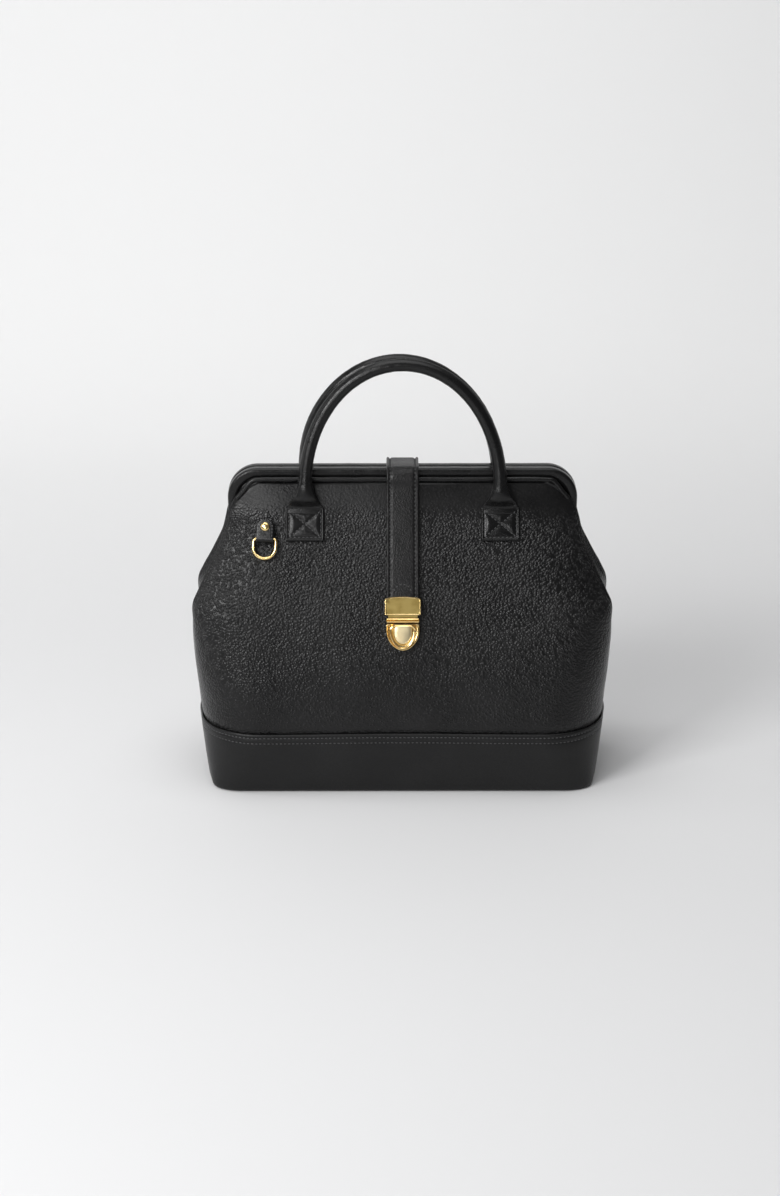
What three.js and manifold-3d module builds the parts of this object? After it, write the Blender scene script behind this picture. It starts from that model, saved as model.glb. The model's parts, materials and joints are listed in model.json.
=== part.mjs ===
// Doctor bag: a leather bag on a stiff base band, with a hinged U-shaped frame at the mouth, two rolled
// handles, a closing strap with a push-button lock, and a D-ring.
// Millimetres. +Z is up, the front faces -Y, and the origin is the centre of the base on the ground.

import * as THREE from 'three';
import { mergeVertices } from 'three/addons/utils/BufferGeometryUtils.js';
import Module from 'manifold-3d';

const wasm = await Module();
wasm.setup();

// ---------------------------------------------------------------- driving dimensions

const GAP = 0.3; // between neighbouring pieces
const LEATHER = 1.8;
const BAND_HEIGHT = 60;
const FLAT_SHARE = 0.7; // share of the front curve's parameter that is flat, before the corner turns

// Each profile is a smooth curve through [height, value] keys.
const FRONT_DEPTH = [[0, 75.5], [20, 77.5], [56, 79.5], [110, 77.5], [165, 64], [210, 46], [248, 28], [282, 15.5]];
const CROWN = [[0, 0], [56, -2.5], [110, 0.5], [165, 2], [282, 2]]; // of the front, between its corners
const RIDGE_HALF_WIDTH = [[0, 176], [56, 187], [110, 191.5], [160, 194], [174, 192.8], [185, 187.6], [198, 180],
  [213, 172.5], [228, 166], [240, 162.5], [252, 159.5], [260, 155.5], [266, 150.5], [272, 145.5], [277, 139.5],
  [282, 130]];
const RIDGE_DEPTH = [[0, 60], [56, 26], [110, 32], [160, 38], [182, 37], [197, 33], [214, 27], [226, 20],
  [240, 14.3], [282, 13]];
const CORNER_WIDTH = [[0, 26], [56, 56], [110, 58], [165, 56], [213, 68], [250, 60], [282, 40]];
const SIDE_HALF_WIDTH = [[0, 182.5], [30, 187], [56, 189.6], [110, 195], [145, 196.2], [162, 193], [178, 180],
  [200, 163], [226, 153]];
const FOLD_SHARPNESS = [[0, 2], [150, 2], [190, 1.35], [226, 1.2]];

const PANEL_COLUMNS = 26;
const PANEL_LOW = 80; // the opening part of each wide panel hangs over a fixed lower part
const PANEL_HIGH = 282;
const LOWER_PANEL_HIGH = 108;
const GUSSET_HIGH = 226;
const PIPING_RADIUS = 2.2;
const PIPING_HEIGHT = 285;
const PIPING_DEPTH = 13.5;

const HINGE_HEIGHT = 235;
const FRAME_HALF_WIDTH = 161;
const FRAME_TOP = 294;
const FRAME_CORNER = 32;
const BAR_HEIGHT = 9.5; // in the plane of the frame
const BAR_DEPTH = 10.1;
const BAR_SPACE = 0.8; // between the two closed bars
const BAR_WALL = 1.5;
const STEEL = 2.5;
const STEEL_DEPTH = 6.4;
const STEEL_SHIFT = 1.6; // front steel runs outside the bar's centre line and back steel inside it
const LUG_RADIUS = 6;
const LEG_STEPS = 1;
const CORNER_STEPS = 7;
const TOP_STEPS = 2; // on each half of the top
const FRAME_STEPS = 2 * (LEG_STEPS + CORNER_STEPS + TOP_STEPS);
const PIN_RADIUS = 2;

const HANDLE_RADIUS = 5.75;
const HANDLE_CORE = 3.9;
const HANDLE_SPREAD = 87.5; // from the centre to each side of the arch
const HANDLE_SPLAY = 2; // of each leg's foot, outwards
const BACK_HANDLE_LEAN = 3; // of the back arch's top, to the left
const HANDLE_LOW = 265;
const HANDLE_ARCH_LOW = 285;
const HANDLE_ARCH_HIGH = 391.5;
const HANDLE_DEPTH_LOW = 30.5;
const HANDLE_DEPTH_HIGH = 8;

const PATCH_WIDTH = 35.5;
const PATCH_LOW = 232;
const PATCH_HIGH = 260;
const PATCH_THICKNESS = 3.1;

const STRAP_WIDTH = 29.5;
const STRAP_THICKNESS = 3;
const STRAP_LIFT = 1.8; // from the panel to the strap's inside
const STRAP_LOW = 171;
const STRAP_CREST = 295; // the strap's inside over the closed frame
const STRAP_HINGE_DEPTH = 16; // the fold's axis, at the crest's height plus a millimetre
const ANCHOR_LOW = 196;

const LOCK_HEIGHT = 151.3; // of the case's centre
const LOCK_HALF_WIDTH = 15.3;
const LOCK_HALF_HEIGHT = 12.4;
const LOCK_BACK = 1.7; // from the panel to the back of the case
const LOCK_FRONT = 8.5;
const BUTTON_HALF_WIDTH = 8.2;
const BUTTON_HALF_HEIGHT = 8.4;
const BUTTON_RISE = 2.2; // of its centre above the case's
const COLLAR_RISE = 15.2;
const COLLAR_HEIGHT = 4.4;
const HASP_RISE = 27.8;
const HASP_WIDTH = 33;
const HASP_LENGTH = 16.4;

const RING_AT = { x: -125.6, z: 232.6 };
const RING_RADIUS = 10.35; // wire centre line
const RING_WIRE = 1.55;
const RING_DROP = 7.5; // straight part below the bar, before the round part
const RIVET_RISE = 11.2; // of the tab's rivet above the bar
const TAB_WIDTH = 16;
const TAB_LENGTH = 18.6;
const RIVET_RADIUS = 3.9;

// ---------------------------------------------------------------- materials

const material = (color, roughness, metalness = 0) =>
  new THREE.MeshStandardMaterial({ color, roughness, metalness });

const LOOK = {
  panelLeather: material(0x141414, 0.5),
  smoothLeather: material(0x0f0f0f, 0.38),
  strapLeather: material(0x121212, 0.42),
  lining: material(0x2a2724, 0.9),
  board: material(0x4b4036, 0.9),
  rope: material(0x8f8370, 0.95),
  steel: material(0x8a8c8e, 0.35, 1),
  brass: material(0xb48f45, 0.3, 1),
  paleBrass: material(0xd8ba78, 0.25, 1),
};

const bag = new THREE.Group();

function addMesh(name, geometry, look, parent = bag) {
  const mesh = new THREE.Mesh(geometry, look);
  mesh.name = name;
  parent.add(mesh);
  return mesh;
}

// A piece of the front and its twin on the back, which is the same piece turned half round.
function addTwins(frontName, backName, geometry, look) {
  addMesh(frontName, geometry, look);
  addMesh(backName, geometry, look).rotation.z = Math.PI;
}

// ---------------------------------------------------------------- the bag's surface

// Smooth curve through the keys: cubic pieces whose slopes are the chords between neighbouring keys.
function at(keys, height) {
  const last = keys.length - 1;
  const z = THREE.MathUtils.clamp(height, keys[0][0], keys[last][0]);
  const i = Math.max(0, Math.min(last - 1, keys.findIndex((key) => key[0] > z) - 1));
  const index = z >= keys[last][0] ? last - 1 : i;
  const slope = (k) => {
    const [z0, v0] = keys[Math.max(k - 1, 0)];
    const [z1, v1] = keys[Math.min(k + 1, last)];
    return (v1 - v0) / (z1 - z0);
  };
  const [z0, v0] = keys[index];
  const [z1, v1] = keys[index + 1];
  const step = z1 - z0;
  const t = (z - z0) / step;
  const rise = v1 - v0;
  const bendLow = slope(index) * step - rise;
  const bendHigh = -slope(index + 1) * step + rise;
  return v0 + rise * t + t * (1 - t) * (bendLow * (1 - t) + bendHigh * t);
}

// Front face at one height: s runs from the left ridge (-1) through the middle (0) to the right ridge (1).
function frontCurve(s, z) {
  const share = Math.abs(s);
  const ridge = at(RIDGE_DEPTH, z);
  const corner = at(CORNER_WIDTH, z);
  const flat = at(RIDGE_HALF_WIDTH, z) - corner;
  const crown = at(CROWN, z);
  const rise = at(FRONT_DEPTH, z) - crown - ridge;
  if (share > FLAT_SHARE) {
    const turn = ((1 - share) / (1 - FLAT_SHARE)) * (Math.PI / 2);
    const x = flat + corner * Math.cos(turn);
    return new THREE.Vector3(Math.sign(s) * x, -(ridge + rise * Math.sin(turn)), z);
  }
  const q = s / FLAT_SHARE;
  return new THREE.Vector3(flat * q, -(ridge + rise + crown * Math.cos((q * Math.PI) / 2) ** 2), z);
}

// Right side at one height: s runs from the front ridge (-1) to the back ridge (1).
// Low down it swells outwards, and towards the hinge it folds inwards in a V.
function sideCurve(s, z) {
  const ridge = at(RIDGE_HALF_WIDTH, z);
  const middle = at(SIDE_HALF_WIDTH, z);
  const x = middle + (ridge - middle) * Math.abs(s) ** at(FOLD_SHARPNESS, z);
  return new THREE.Vector3(x, s * at(RIDGE_DEPTH, z), z);
}

// The front curve's parameter at a given x.
function frontParameter(x, z) {
  const corner = at(CORNER_WIDTH, z);
  const flat = at(RIDGE_HALF_WIDTH, z) - corner;
  const size = Math.abs(x);
  if (size <= flat) return (x / flat) * FLAT_SHARE;
  const turn = Math.acos(Math.min(1, (size - flat) / corner));
  return Math.sign(x) * (1 - (turn / (Math.PI / 2)) * (1 - FLAT_SHARE));
}

const onFront = (x, z) => frontCurve(frontParameter(x, z), z);

// Outward normal of a surface given as point(u, v), where u cross v points outwards.
function normalOf(point, u, v) {
  const step = 0.002;
  const along = point(u + step, v).sub(point(u - step, v));
  const up = point(u, v + step).sub(point(u, v - step));
  return along.cross(up).normalize();
}

// A closed sheet that follows point(u, v) for u and v from 0 to 1, between two distances from it.
function sheet(point, inner, outer, across, upward) {
  const geometry = new THREE.BoxGeometry(1, 1, 1, across, upward, 1);
  const place = geometry.attributes.position;
  for (let i = 0; i < place.count; i += 1) {
    const u = place.getX(i) + 0.5;
    const v = place.getY(i) + 0.5;
    const distance = place.getZ(i) > 0 ? outer : inner;
    const p = point(u, v).addScaledVector(normalOf(point, u, v), distance);
    place.setXYZ(i, p.x, p.y, p.z);
  }
  return geometry;
}

const frontSheet = (reach, low, high, inner, outer, across, upward) =>
  sheet((u, v) => frontCurve((2 * u - 1) * reach, low + (high - low) * v), inner, outer, across, upward);

// A sheet of the side whose two upright edges stop a margin short of the ridges.
function sideSheet(margin, low, high, inner, outer, across, upward) {
  const point = (u, v) => {
    const z = low + (high - low) * v;
    return sideCurve((2 * u - 1) * (1 - margin / at(RIDGE_DEPTH, z)), z);
  };
  return sheet(point, inner, outer, across, upward);
}

// A flat rectangle of the front, bent on to its surface.
function frontPatch(centreX, width, low, high, inner, outer, across, upward) {
  const point = (u, v) => onFront(centreX + (u - 0.5) * width, low + (high - low) * v);
  return sheet(point, inner, outer, across, upward);
}

// A group whose X runs across the front's surface, Y up it and Z out of it, at a point of the front.
function surfaceGroup(x, z) {
  const point = (u, v) => onFront(x + u, z + v);
  const outward = normalOf(point, 0, 0);
  const across = point(0.5, 0).sub(point(-0.5, 0)).normalize();
  const up = outward.clone().cross(across);
  const group = new THREE.Group();
  group.applyMatrix4(new THREE.Matrix4().makeBasis(across, up, outward).setPosition(onFront(x, z)));
  bag.add(group);
  return group;
}

// ---------------------------------------------------------------- joining and cutting

function toSolid(geometry) {
  const bare = geometry.clone();
  bare.deleteAttribute('normal');
  bare.deleteAttribute('uv');
  const merged = mergeVertices(bare, 1e-4);
  return new wasm.Manifold(new wasm.Mesh({
    numProp: 3,
    vertProperties: new Float32Array(merged.attributes.position.array),
    triVerts: new Uint32Array(merged.index.array),
  }));
}

function toGeometry(solid) {
  const mesh = solid.getMesh();
  const geometry = new THREE.BufferGeometry();
  geometry.setAttribute('position', new THREE.BufferAttribute(mesh.vertProperties, 3));
  geometry.setIndex(new THREE.BufferAttribute(mesh.triVerts, 1));
  geometry.computeVertexNormals();
  return geometry;
}

const join = (first, ...others) =>
  toGeometry(others.reduce((solid, other) => solid.add(toSolid(other)), toSolid(first)));

const cut = (first, ...others) =>
  toGeometry(others.reduce((solid, other) => solid.subtract(toSolid(other)), toSolid(first)));

// A round bar along X, centred at a point.
function barAlongX(radius, length, x, y, z, sides = 24) {
  return new THREE.CylinderGeometry(radius, radius, length, sides).rotateZ(Math.PI / 2).translate(x, y, z);
}

// ---------------------------------------------------------------- base

// The bag's outline at one height, moved inwards by the inset, as a flat shape.
function outline(z, inset) {
  const loop = [];
  for (const turn of [0, Math.PI]) {
    for (const [curve, count] of [[frontCurve, 20], [sideCurve, 6]]) {
      for (let i = 0; i < count; i += 1) {
        loop.push(curve((2 * i) / count - 1, z).applyAxisAngle(new THREE.Vector3(0, 0, 1), turn));
      }
    }
  }
  const points = loop.map((p, i) => {
    const along = loop[(i + 1) % loop.length].clone().sub(loop.at(i - 1)).normalize();
    return new THREE.Vector2(p.x - along.y * inset, p.y + along.x * inset);
  });
  return new THREE.Shape(points);
}

function plate(z, thickness, inset) {
  const geometry = new THREE.ExtrudeGeometry(outline(z, inset), { depth: thickness, bevelEnabled: false });
  return geometry.translate(0, 0, z);
}

function addBase() {
  const boardLow = LEATHER + GAP;
  const boardThickness = 3;
  const liningLow = boardLow + boardThickness + GAP;
  addMesh('bottom_panel', plate(0, LEATHER, 1.2), LOOK.smoothLeather);
  addMesh('base_board', plate(boardLow, boardThickness, 5), LOOK.board);
  addMesh('lining_floor', plate(liningLow, 1, 5.2), LOOK.lining);
  const bandLow = 0.6;
  const inner = -0.7;
  const outer = 1.5;
  const front = frontSheet(1, bandLow, BAND_HEIGHT, inner, outer, PANEL_COLUMNS, 2);
  const side = sideSheet(0.5, bandLow, BAND_HEIGHT, inner, outer, 6, 2);
  addTwins('base_band_front', 'base_band_back', front, LOOK.smoothLeather);
  addTwins('base_band_right', 'base_band_left', side, LOOK.smoothLeather);
}

// ---------------------------------------------------------------- leather shell

function addShell() {
  const shellLow = LEATHER + GAP;
  const gusset = sideSheet(4.5, shellLow, GUSSET_HIGH, -3.2, -1.6, 6, 12);
  addTwins('right_gusset', 'left_gusset', gusset, LOOK.panelLeather);
  const lower = frontSheet(1, shellLow, LOWER_PANEL_HIGH, -4.2, -2.5, PANEL_COLUMNS, 4);
  addTwins('front_panel_lower', 'back_panel_lower', lower, LOOK.panelLeather);
  const upper = frontSheet(1, PANEL_LOW, PANEL_HIGH, -LEATHER, 0, PANEL_COLUMNS, 10);
  addMesh('back_panel', upper, LOOK.panelLeather).rotation.z = Math.PI;
  addMesh('front_panel', upper, LOOK.panelLeather);
}

function addLining() {
  const low = 7;
  const front = frontSheet(0.97, low, LOWER_PANEL_HIGH - 8, -6.6, -5.6, PANEL_COLUMNS, 4);
  const side = sideSheet(5, low, LOWER_PANEL_HIGH - 8, -5.2, -4.2, 6, 4);
  addTwins('lining_front', 'lining_back', front, LOOK.lining);
  addTwins('lining_right', 'lining_left', side, LOOK.lining);
}

// Piping along the panel's upper edge, turning down its two upper corners.
function addPiping() {
  const edge = (z) => at(RIDGE_HALF_WIDTH, z) + PIPING_RADIUS + 2 * GAP;
  const ends = [15, 9].map((drop) => {
    const z = PANEL_HIGH - drop;
    return new THREE.Vector3(edge(z), -PIPING_DEPTH - 0.6, z);
  });
  const top = [[138.5, -1.8], [130, -0.3], [118, 0], [60, 0], [0, 0]].map(
    ([x, drop]) => new THREE.Vector3(x, -PIPING_DEPTH, PIPING_HEIGHT + drop));
  const right = [...ends, ...top];
  const left = right.slice(0, -1).reverse().map((p) => new THREE.Vector3(-p.x, p.y, p.z));
  const path = new THREE.CatmullRomCurve3([...right, ...left], false, 'centripetal');
  const circle = new THREE.Shape().absarc(0, 0, PIPING_RADIUS, 0, 2 * Math.PI);
  const geometry = new THREE.ExtrudeGeometry(circle, { steps: 34, extrudePath: path, curveSegments: 4 });
  addTwins('front_piping', 'back_piping', geometry, LOOK.smoothLeather);
}

// ---------------------------------------------------------------- hinged frame

// The U of a bar: up the right leg, across the top and down the left leg. Its stations are counted out, not
// spaced evenly, so that steel and cover turn the corners together.
class FramePath extends THREE.Curve {
  constructor(shift, legLow) {
    super();
    this.radius = FRAME_CORNER - BAR_HEIGHT / 2 + shift;
    this.half = FRAME_HALF_WIDTH - FRAME_CORNER;
    this.top = FRAME_TOP - FRAME_CORNER;
    this.legLow = legLow;
  }

  getPoint(share) {
    const side = share > 0.5 ? -1 : 1;
    const station = Math.min(share, 1 - share) * FRAME_STEPS;
    const onLeg = Math.min(station / LEG_STEPS, 1);
    const turn = THREE.MathUtils.clamp((station - LEG_STEPS) / CORNER_STEPS, 0, 1) * (Math.PI / 2);
    const onTop = Math.max(0, station - LEG_STEPS - CORNER_STEPS) / TOP_STEPS;
    const x = this.half * (1 - onTop) + this.radius * Math.cos(turn);
    const z = this.legLow + (this.top - this.legLow) * onLeg + this.radius * Math.sin(turn);
    return new THREE.Vector3(side * x, -(BAR_SPACE + BAR_DEPTH) / 2, z);
  }

  getPointAt(share) {
    return this.getPoint(share);
  }

  getTangentAt(share) {
    return this.getTangent(share);
  }
}

// A rectangle whose first side lies along the bag's depth and whose second lies in the frame's plane.
function bar(width, height, bevel = 0) {
  const shape = new THREE.Shape();
  const [w, h] = [width / 2, height / 2];
  shape.moveTo(-w + bevel, -h);
  shape.lineTo(w - bevel, -h);
  if (bevel) shape.lineTo(w, -h + bevel);
  shape.lineTo(w, h - bevel);
  if (bevel) shape.lineTo(w - bevel, h);
  shape.lineTo(-w + bevel, h);
  if (bevel) shape.lineTo(-w, h - bevel);
  shape.lineTo(-w, -h + bevel);
  return shape;
}

function frameCover() {
  const shape = bar(BAR_DEPTH, BAR_HEIGHT, 2);
  shape.holes.push(bar(BAR_DEPTH - 2 * BAR_WALL, BAR_HEIGHT - 2 * BAR_WALL));
  const coverLow = HINGE_HEIGHT + LUG_RADIUS + 2;
  return new THREE.ExtrudeGeometry(shape, { steps: FRAME_STEPS, extrudePath: new FramePath(0, coverLow) });
}

function frameSteel(shift) {
  const path = new FramePath(shift, HINGE_HEIGHT);
  const steel = new THREE.ExtrudeGeometry(bar(STEEL_DEPTH, STEEL), { steps: FRAME_STEPS, extrudePath: path });
  const x = path.half + path.radius;
  const lugs = [-x, x].map((place) => barAlongX(LUG_RADIUS, STEEL, place, 0, HINGE_HEIGHT));
  const hole = barAlongX(PIN_RADIUS + GAP, 4 * FRAME_HALF_WIDTH, 0, 0, HINGE_HEIGHT, 16);
  return cut(join(steel, ...lugs), hole);
}

function addFrame() {
  addTwins('front_frame_cover', 'back_frame_cover', frameCover(), LOOK.smoothLeather);
  addMesh('front_frame_steel', frameSteel(STEEL_SHIFT), LOOK.steel);
  addMesh('back_frame_steel', frameSteel(-STEEL_SHIFT), LOOK.steel).rotation.z = Math.PI;
}

// The pivot rivet: a shaft with a flat head inside the bag and a domed head outside.
function hingeRivet() {
  const lugMiddle = FRAME_HALF_WIDTH - BAR_HEIGHT / 2;
  const reach = STEEL_SHIFT + STEEL / 2 + GAP;
  const profile = [
    [0, -reach - 1.6], [4, -reach - 1.6], [4, -reach], [PIN_RADIUS, -reach], [PIN_RADIUS, reach],
    [4.2, reach], [4.2, reach + 0.6], [3.4, reach + 1.6], [1.8, reach + 2.2], [0, reach + 2.4],
  ].map(([r, x]) => new THREE.Vector2(r, x));
  return new THREE.LatheGeometry(profile, 20).rotateZ(-Math.PI / 2).translate(lugMiddle, 0, HINGE_HEIGHT);
}

// ---------------------------------------------------------------- handles

class HandlePath extends THREE.Curve {
  constructor(archLean) {
    super();
    this.archLean = archLean;
  }

  getPoint(share) {
    const legLength = HANDLE_ARCH_LOW - HANDLE_LOW;
    const legShare = 0.055;
    const archHeight = HANDLE_ARCH_HIGH - HANDLE_ARCH_LOW;
    let x = HANDLE_SPREAD;
    let z = HANDLE_LOW + (Math.min(share, 1 - share) / legShare) * legLength;
    if (share > legShare && share < 1 - legShare) {
      const turn = ((share - legShare) / (1 - 2 * legShare)) * Math.PI;
      x = HANDLE_SPREAD * Math.cos(turn);
      z = HANDLE_ARCH_LOW + archHeight * Math.sin(turn);
    } else if (share >= 1 - legShare) {
      x = -HANDLE_SPREAD;
    }
    const drop = Math.max(0, 1 - (z - HANDLE_LOW) / (HANDLE_ARCH_HIGH - HANDLE_LOW));
    const depth = HANDLE_DEPTH_HIGH + (HANDLE_DEPTH_LOW - HANDLE_DEPTH_HIGH) * drop ** 1.5;
    x += Math.sign(x) * HANDLE_SPLAY * drop ** 2 + this.archLean * (1 - drop ** 2);
    return new THREE.Vector3(x, -depth, z);
  }
}

function addHandles() {
  const round = (radius) => new THREE.Shape().absarc(0, 0, radius, 0, 2 * Math.PI);
  const skin = round(HANDLE_RADIUS);
  skin.holes.push(round(HANDLE_CORE + GAP));
  const along = (shape, extrudePath) =>
    new THREE.ExtrudeGeometry(shape, { steps: 26, extrudePath, curveSegments: 4 });
  for (const [name, path] of [['front', new HandlePath(0)], ['back', new HandlePath(BACK_HANDLE_LEAN)]]) {
    const cover = addMesh(`${name}_handle_cover`, along(skin, path), LOOK.smoothLeather);
    const rope = addMesh(`${name}_handle_rope`, along(round(HANDLE_CORE), path), LOOK.rope);
    if (name === 'back') cover.rotation.z = rope.rotation.z = Math.PI;
  }
  for (const side of [-1, 1]) {
    const x = side * (HANDLE_SPREAD + HANDLE_SPLAY);
    const patch = frontPatch(x, PATCH_WIDTH, PATCH_LOW, PATCH_HIGH, GAP, PATCH_THICKNESS, 4, 4);
    const [front, back] = side < 0 ? ['left', 'right'] : ['right', 'left'];
    addTwins(`front_${front}_handle_patch`, `back_${back}_handle_patch`, patch, LOOK.smoothLeather);
  }
}

// ---------------------------------------------------------------- closing strap

// A strip across the bag that follows a path in the depth-height plane, on the path's outer side.
function strip(path, width, thickness, pieces) {
  const point = (u, v) => {
    const p = path.getPointAt(THREE.MathUtils.clamp(v, 0, 1));
    return new THREE.Vector3((u - 0.5) * width, p.x, p.y);
  };
  const geometry = new THREE.BoxGeometry(1, 1, 1, 1, pieces, 1);
  const place = geometry.attributes.position;
  for (let i = 0; i < place.count; i += 1) {
    const v = place.getY(i) + 0.5;
    const tangent = path.getTangentAt(v);
    const outward = new THREE.Vector3(0, -tangent.y, tangent.x);
    const p = point(place.getX(i) + 0.5, v);
    if (place.getZ(i) > 0) p.addScaledVector(outward, thickness);
    place.setXYZ(i, p.x, p.y, p.z);
  }
  return geometry;
}

// Inside of the strap: up the front, over the closed frame, to its fold at the back.
function strapPath() {
  const front = [STRAP_LOW, 188, 212, 240, 266].map((z) => {
    const p = onFront(0, z);
    return new THREE.Vector2(p.y - STRAP_LIFT, z + 0.5);
  });
  const over = [[-18.4, -15], [-17.4, -7], [-13, -1.2], [-6, 0], [5, 0], [STRAP_HINGE_DEPTH - 0.8, 0]];
  return new THREE.SplineCurve([...front, ...over.map(([y, z]) => new THREE.Vector2(y, STRAP_CREST + z))]);
}

// Inside of the anchor: down from the fold, and flat along the back panel.
function anchorPath() {
  const fold = [[0.2, 0], [1.6, -2.5], [2.5, -8], [5, -17]].map(
    ([y, z]) => [STRAP_HINGE_DEPTH + y, STRAP_CREST + z]);
  const back = [262, 240, 218, ANCHOR_LOW].map((z) => new THREE.Vector2(-onFront(0, z).y + 0.6, z));
  return new THREE.SplineCurve([...fold.map(([y, z]) => new THREE.Vector2(y, z)), ...back]);
}

function addStrap() {
  addMesh('strap', strip(strapPath(), STRAP_WIDTH, STRAP_THICKNESS, 30), LOOK.strapLeather);
  addMesh('strap_anchor', strip(anchorPath(), STRAP_WIDTH, STRAP_THICKNESS, 18), LOOK.strapLeather);
}

// ---------------------------------------------------------------- lock

// A shield: straight across the top, straight sides, and a rounded point below.
function shield(halfWidth, halfHeight, cornerShare = 0.16, waistShare = 0.5) {
  const corner = halfWidth * cornerShare;
  const waist = halfHeight * waistShare;
  const hip = waist - halfHeight * 0.85;
  const shape = new THREE.Shape();
  shape.moveTo(-halfWidth, waist);
  shape.bezierCurveTo(-halfWidth, hip, -halfWidth * 0.45, -halfHeight, 0, -halfHeight);
  shape.bezierCurveTo(halfWidth * 0.45, -halfHeight, halfWidth, hip, halfWidth, waist);
  shape.lineTo(halfWidth, halfHeight - corner);
  shape.quadraticCurveTo(halfWidth, halfHeight, halfWidth - corner, halfHeight);
  shape.lineTo(-halfWidth + corner, halfHeight);
  shape.quadraticCurveTo(-halfWidth, halfHeight, -halfWidth, halfHeight - corner);
  return shape;
}

const slab = (shape, from, to) =>
  new THREE.ExtrudeGeometry(shape, { depth: to - from, bevelEnabled: false, curveSegments: 6 }).translate(0, 0, from);

// A flat spiral spring, whose turns lie inside each other so that the button can press it flat.
class SpringPath extends THREE.Curve {
  getPoint(share) {
    const turn = share * 4 * Math.PI;
    const radius = 5.6 - 3.2 * share;
    return new THREE.Vector3(radius * Math.cos(turn), radius * Math.sin(turn), LOCK_BACK + 0.5 + 0.7 * share);
  }
}

function addLock() {
  const group = surfaceGroup(0, LOCK_HEIGHT);
  const baseLow = 0.4;
  const buttonBack = 4.9;
  const buttonCorner = 0.55;
  const buttonWaist = 0.3;
  const buttonShape = (margin) =>
    shield(BUTTON_HALF_WIDTH + margin, BUTTON_HALF_HEIGHT + margin, buttonCorner, buttonWaist);
  const opening = (margin) =>
    slab(buttonShape(margin), 0, 2 * LOCK_FRONT).translate(0, BUTTON_RISE, 0);
  const flange = slab(shield(LOCK_HALF_WIDTH, LOCK_HALF_HEIGHT), LOCK_BACK, LOCK_FRONT - 3);
  const bezel = slab(shield(LOCK_HALF_WIDTH - 2.6, LOCK_HALF_HEIGHT - 1), LOCK_FRONT - 3.5, LOCK_FRONT);
  const lockCase = cut(join(flange, bezel), opening(GAP + 0.1));
  const backPlate = slab(shield(LOCK_HALF_WIDTH - 0.5, LOCK_HALF_HEIGHT - 0.5), baseLow, LOCK_BACK - GAP);
  addMesh('lock_base_plate', backPlate, LOOK.steel, group);
  addMesh('lock_case', lockCase, LOOK.brass, group);
  const button = slab(buttonShape(0), buttonBack, LOCK_FRONT + 0.3).translate(0, BUTTON_RISE, 0);
  addMesh('lock_button', button, LOOK.paleBrass, group);
  const wire = new THREE.Shape().absarc(0, 0, 0.35, 0, 2 * Math.PI);
  const spring = new THREE.ExtrudeGeometry(wire, { steps: 32, extrudePath: new SpringPath(), curveSegments: 3 });
  addMesh('button_spring', spring.translate(0, BUTTON_RISE, 0), LOOK.steel, group);
}

// A group further up the strap than the lock, by a distance along the panel.
function groupAboveLock(rise) {
  const step = onFront(0, LOCK_HEIGHT + rise).sub(onFront(0, LOCK_HEIGHT));
  return surfaceGroup(0, LOCK_HEIGHT + (rise * rise) / step.length());
}

// The hasp: two plates that clasp the strap's end, and the ribbed collar that meets the lock.
function addHasp() {
  const group = groupAboveLock(HASP_RISE);
  const strapOut = STRAP_LIFT + STRAP_THICKNESS + 1.1;
  const half = [HASP_WIDTH / 2, HASP_LENGTH / 2];
  const topDrop = 1.5; // of the plate's arched top at its ends
  const plateShape = new THREE.Shape();
  plateShape.moveTo(-half[0], -half[1]);
  plateShape.lineTo(half[0], -half[1]);
  plateShape.lineTo(half[0], half[1] - topDrop);
  plateShape.quadraticCurveTo(0, half[1] + topDrop, -half[0], half[1] - topDrop);
  addMesh('hasp_front_plate', slab(plateShape, strapOut, strapOut + 2), LOOK.brass, group);
  addMesh('hasp_back_plate', slab(bar(HASP_WIDTH - 6, HASP_LENGTH - 4), 0.4, 1.3), LOOK.brass, group);
  const collarFront = LOCK_FRONT - 0.8;
  const collar = slab(bar(2 * LOCK_HALF_WIDTH, COLLAR_HEIGHT), 3.4, collarFront);
  const ribs = [-1.1, 1.1].map((y) => barAlongX(0.8, 2 * LOCK_HALF_WIDTH - 1, 0, y, collarFront, 12));
  addMesh('hasp_collar', join(collar, ...ribs), LOOK.brass, groupAboveLock(COLLAR_RISE));
}

// ---------------------------------------------------------------- D-ring on its tab

function ringLoop() {
  const half = new THREE.Shape().absarc(0, 0, RING_WIRE, 0, 2 * Math.PI);
  class LoopPath extends THREE.Curve {
    getPoint(share) {
      const arc = Math.PI * RING_RADIUS;
      const total = arc + 2 * RING_DROP;
      const along = Math.min(share, 1 - share) * total;
      const side = share < 0.5 ? 1 : -1;
      if (along < RING_DROP) return new THREE.Vector3(side * RING_RADIUS, -along, 0);
      const turn = (along - RING_DROP) / RING_RADIUS;
      return new THREE.Vector3(side * RING_RADIUS * Math.cos(turn), -RING_DROP - RING_RADIUS * Math.sin(turn), 0);
    }
  }
  const loop = new THREE.ExtrudeGeometry(half, { steps: 22, extrudePath: new LoopPath(), curveSegments: 4 });
  return join(loop, barAlongX(RING_WIRE, 2 * RING_RADIUS + 1, 0, 0, 0, 16));
}

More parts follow.
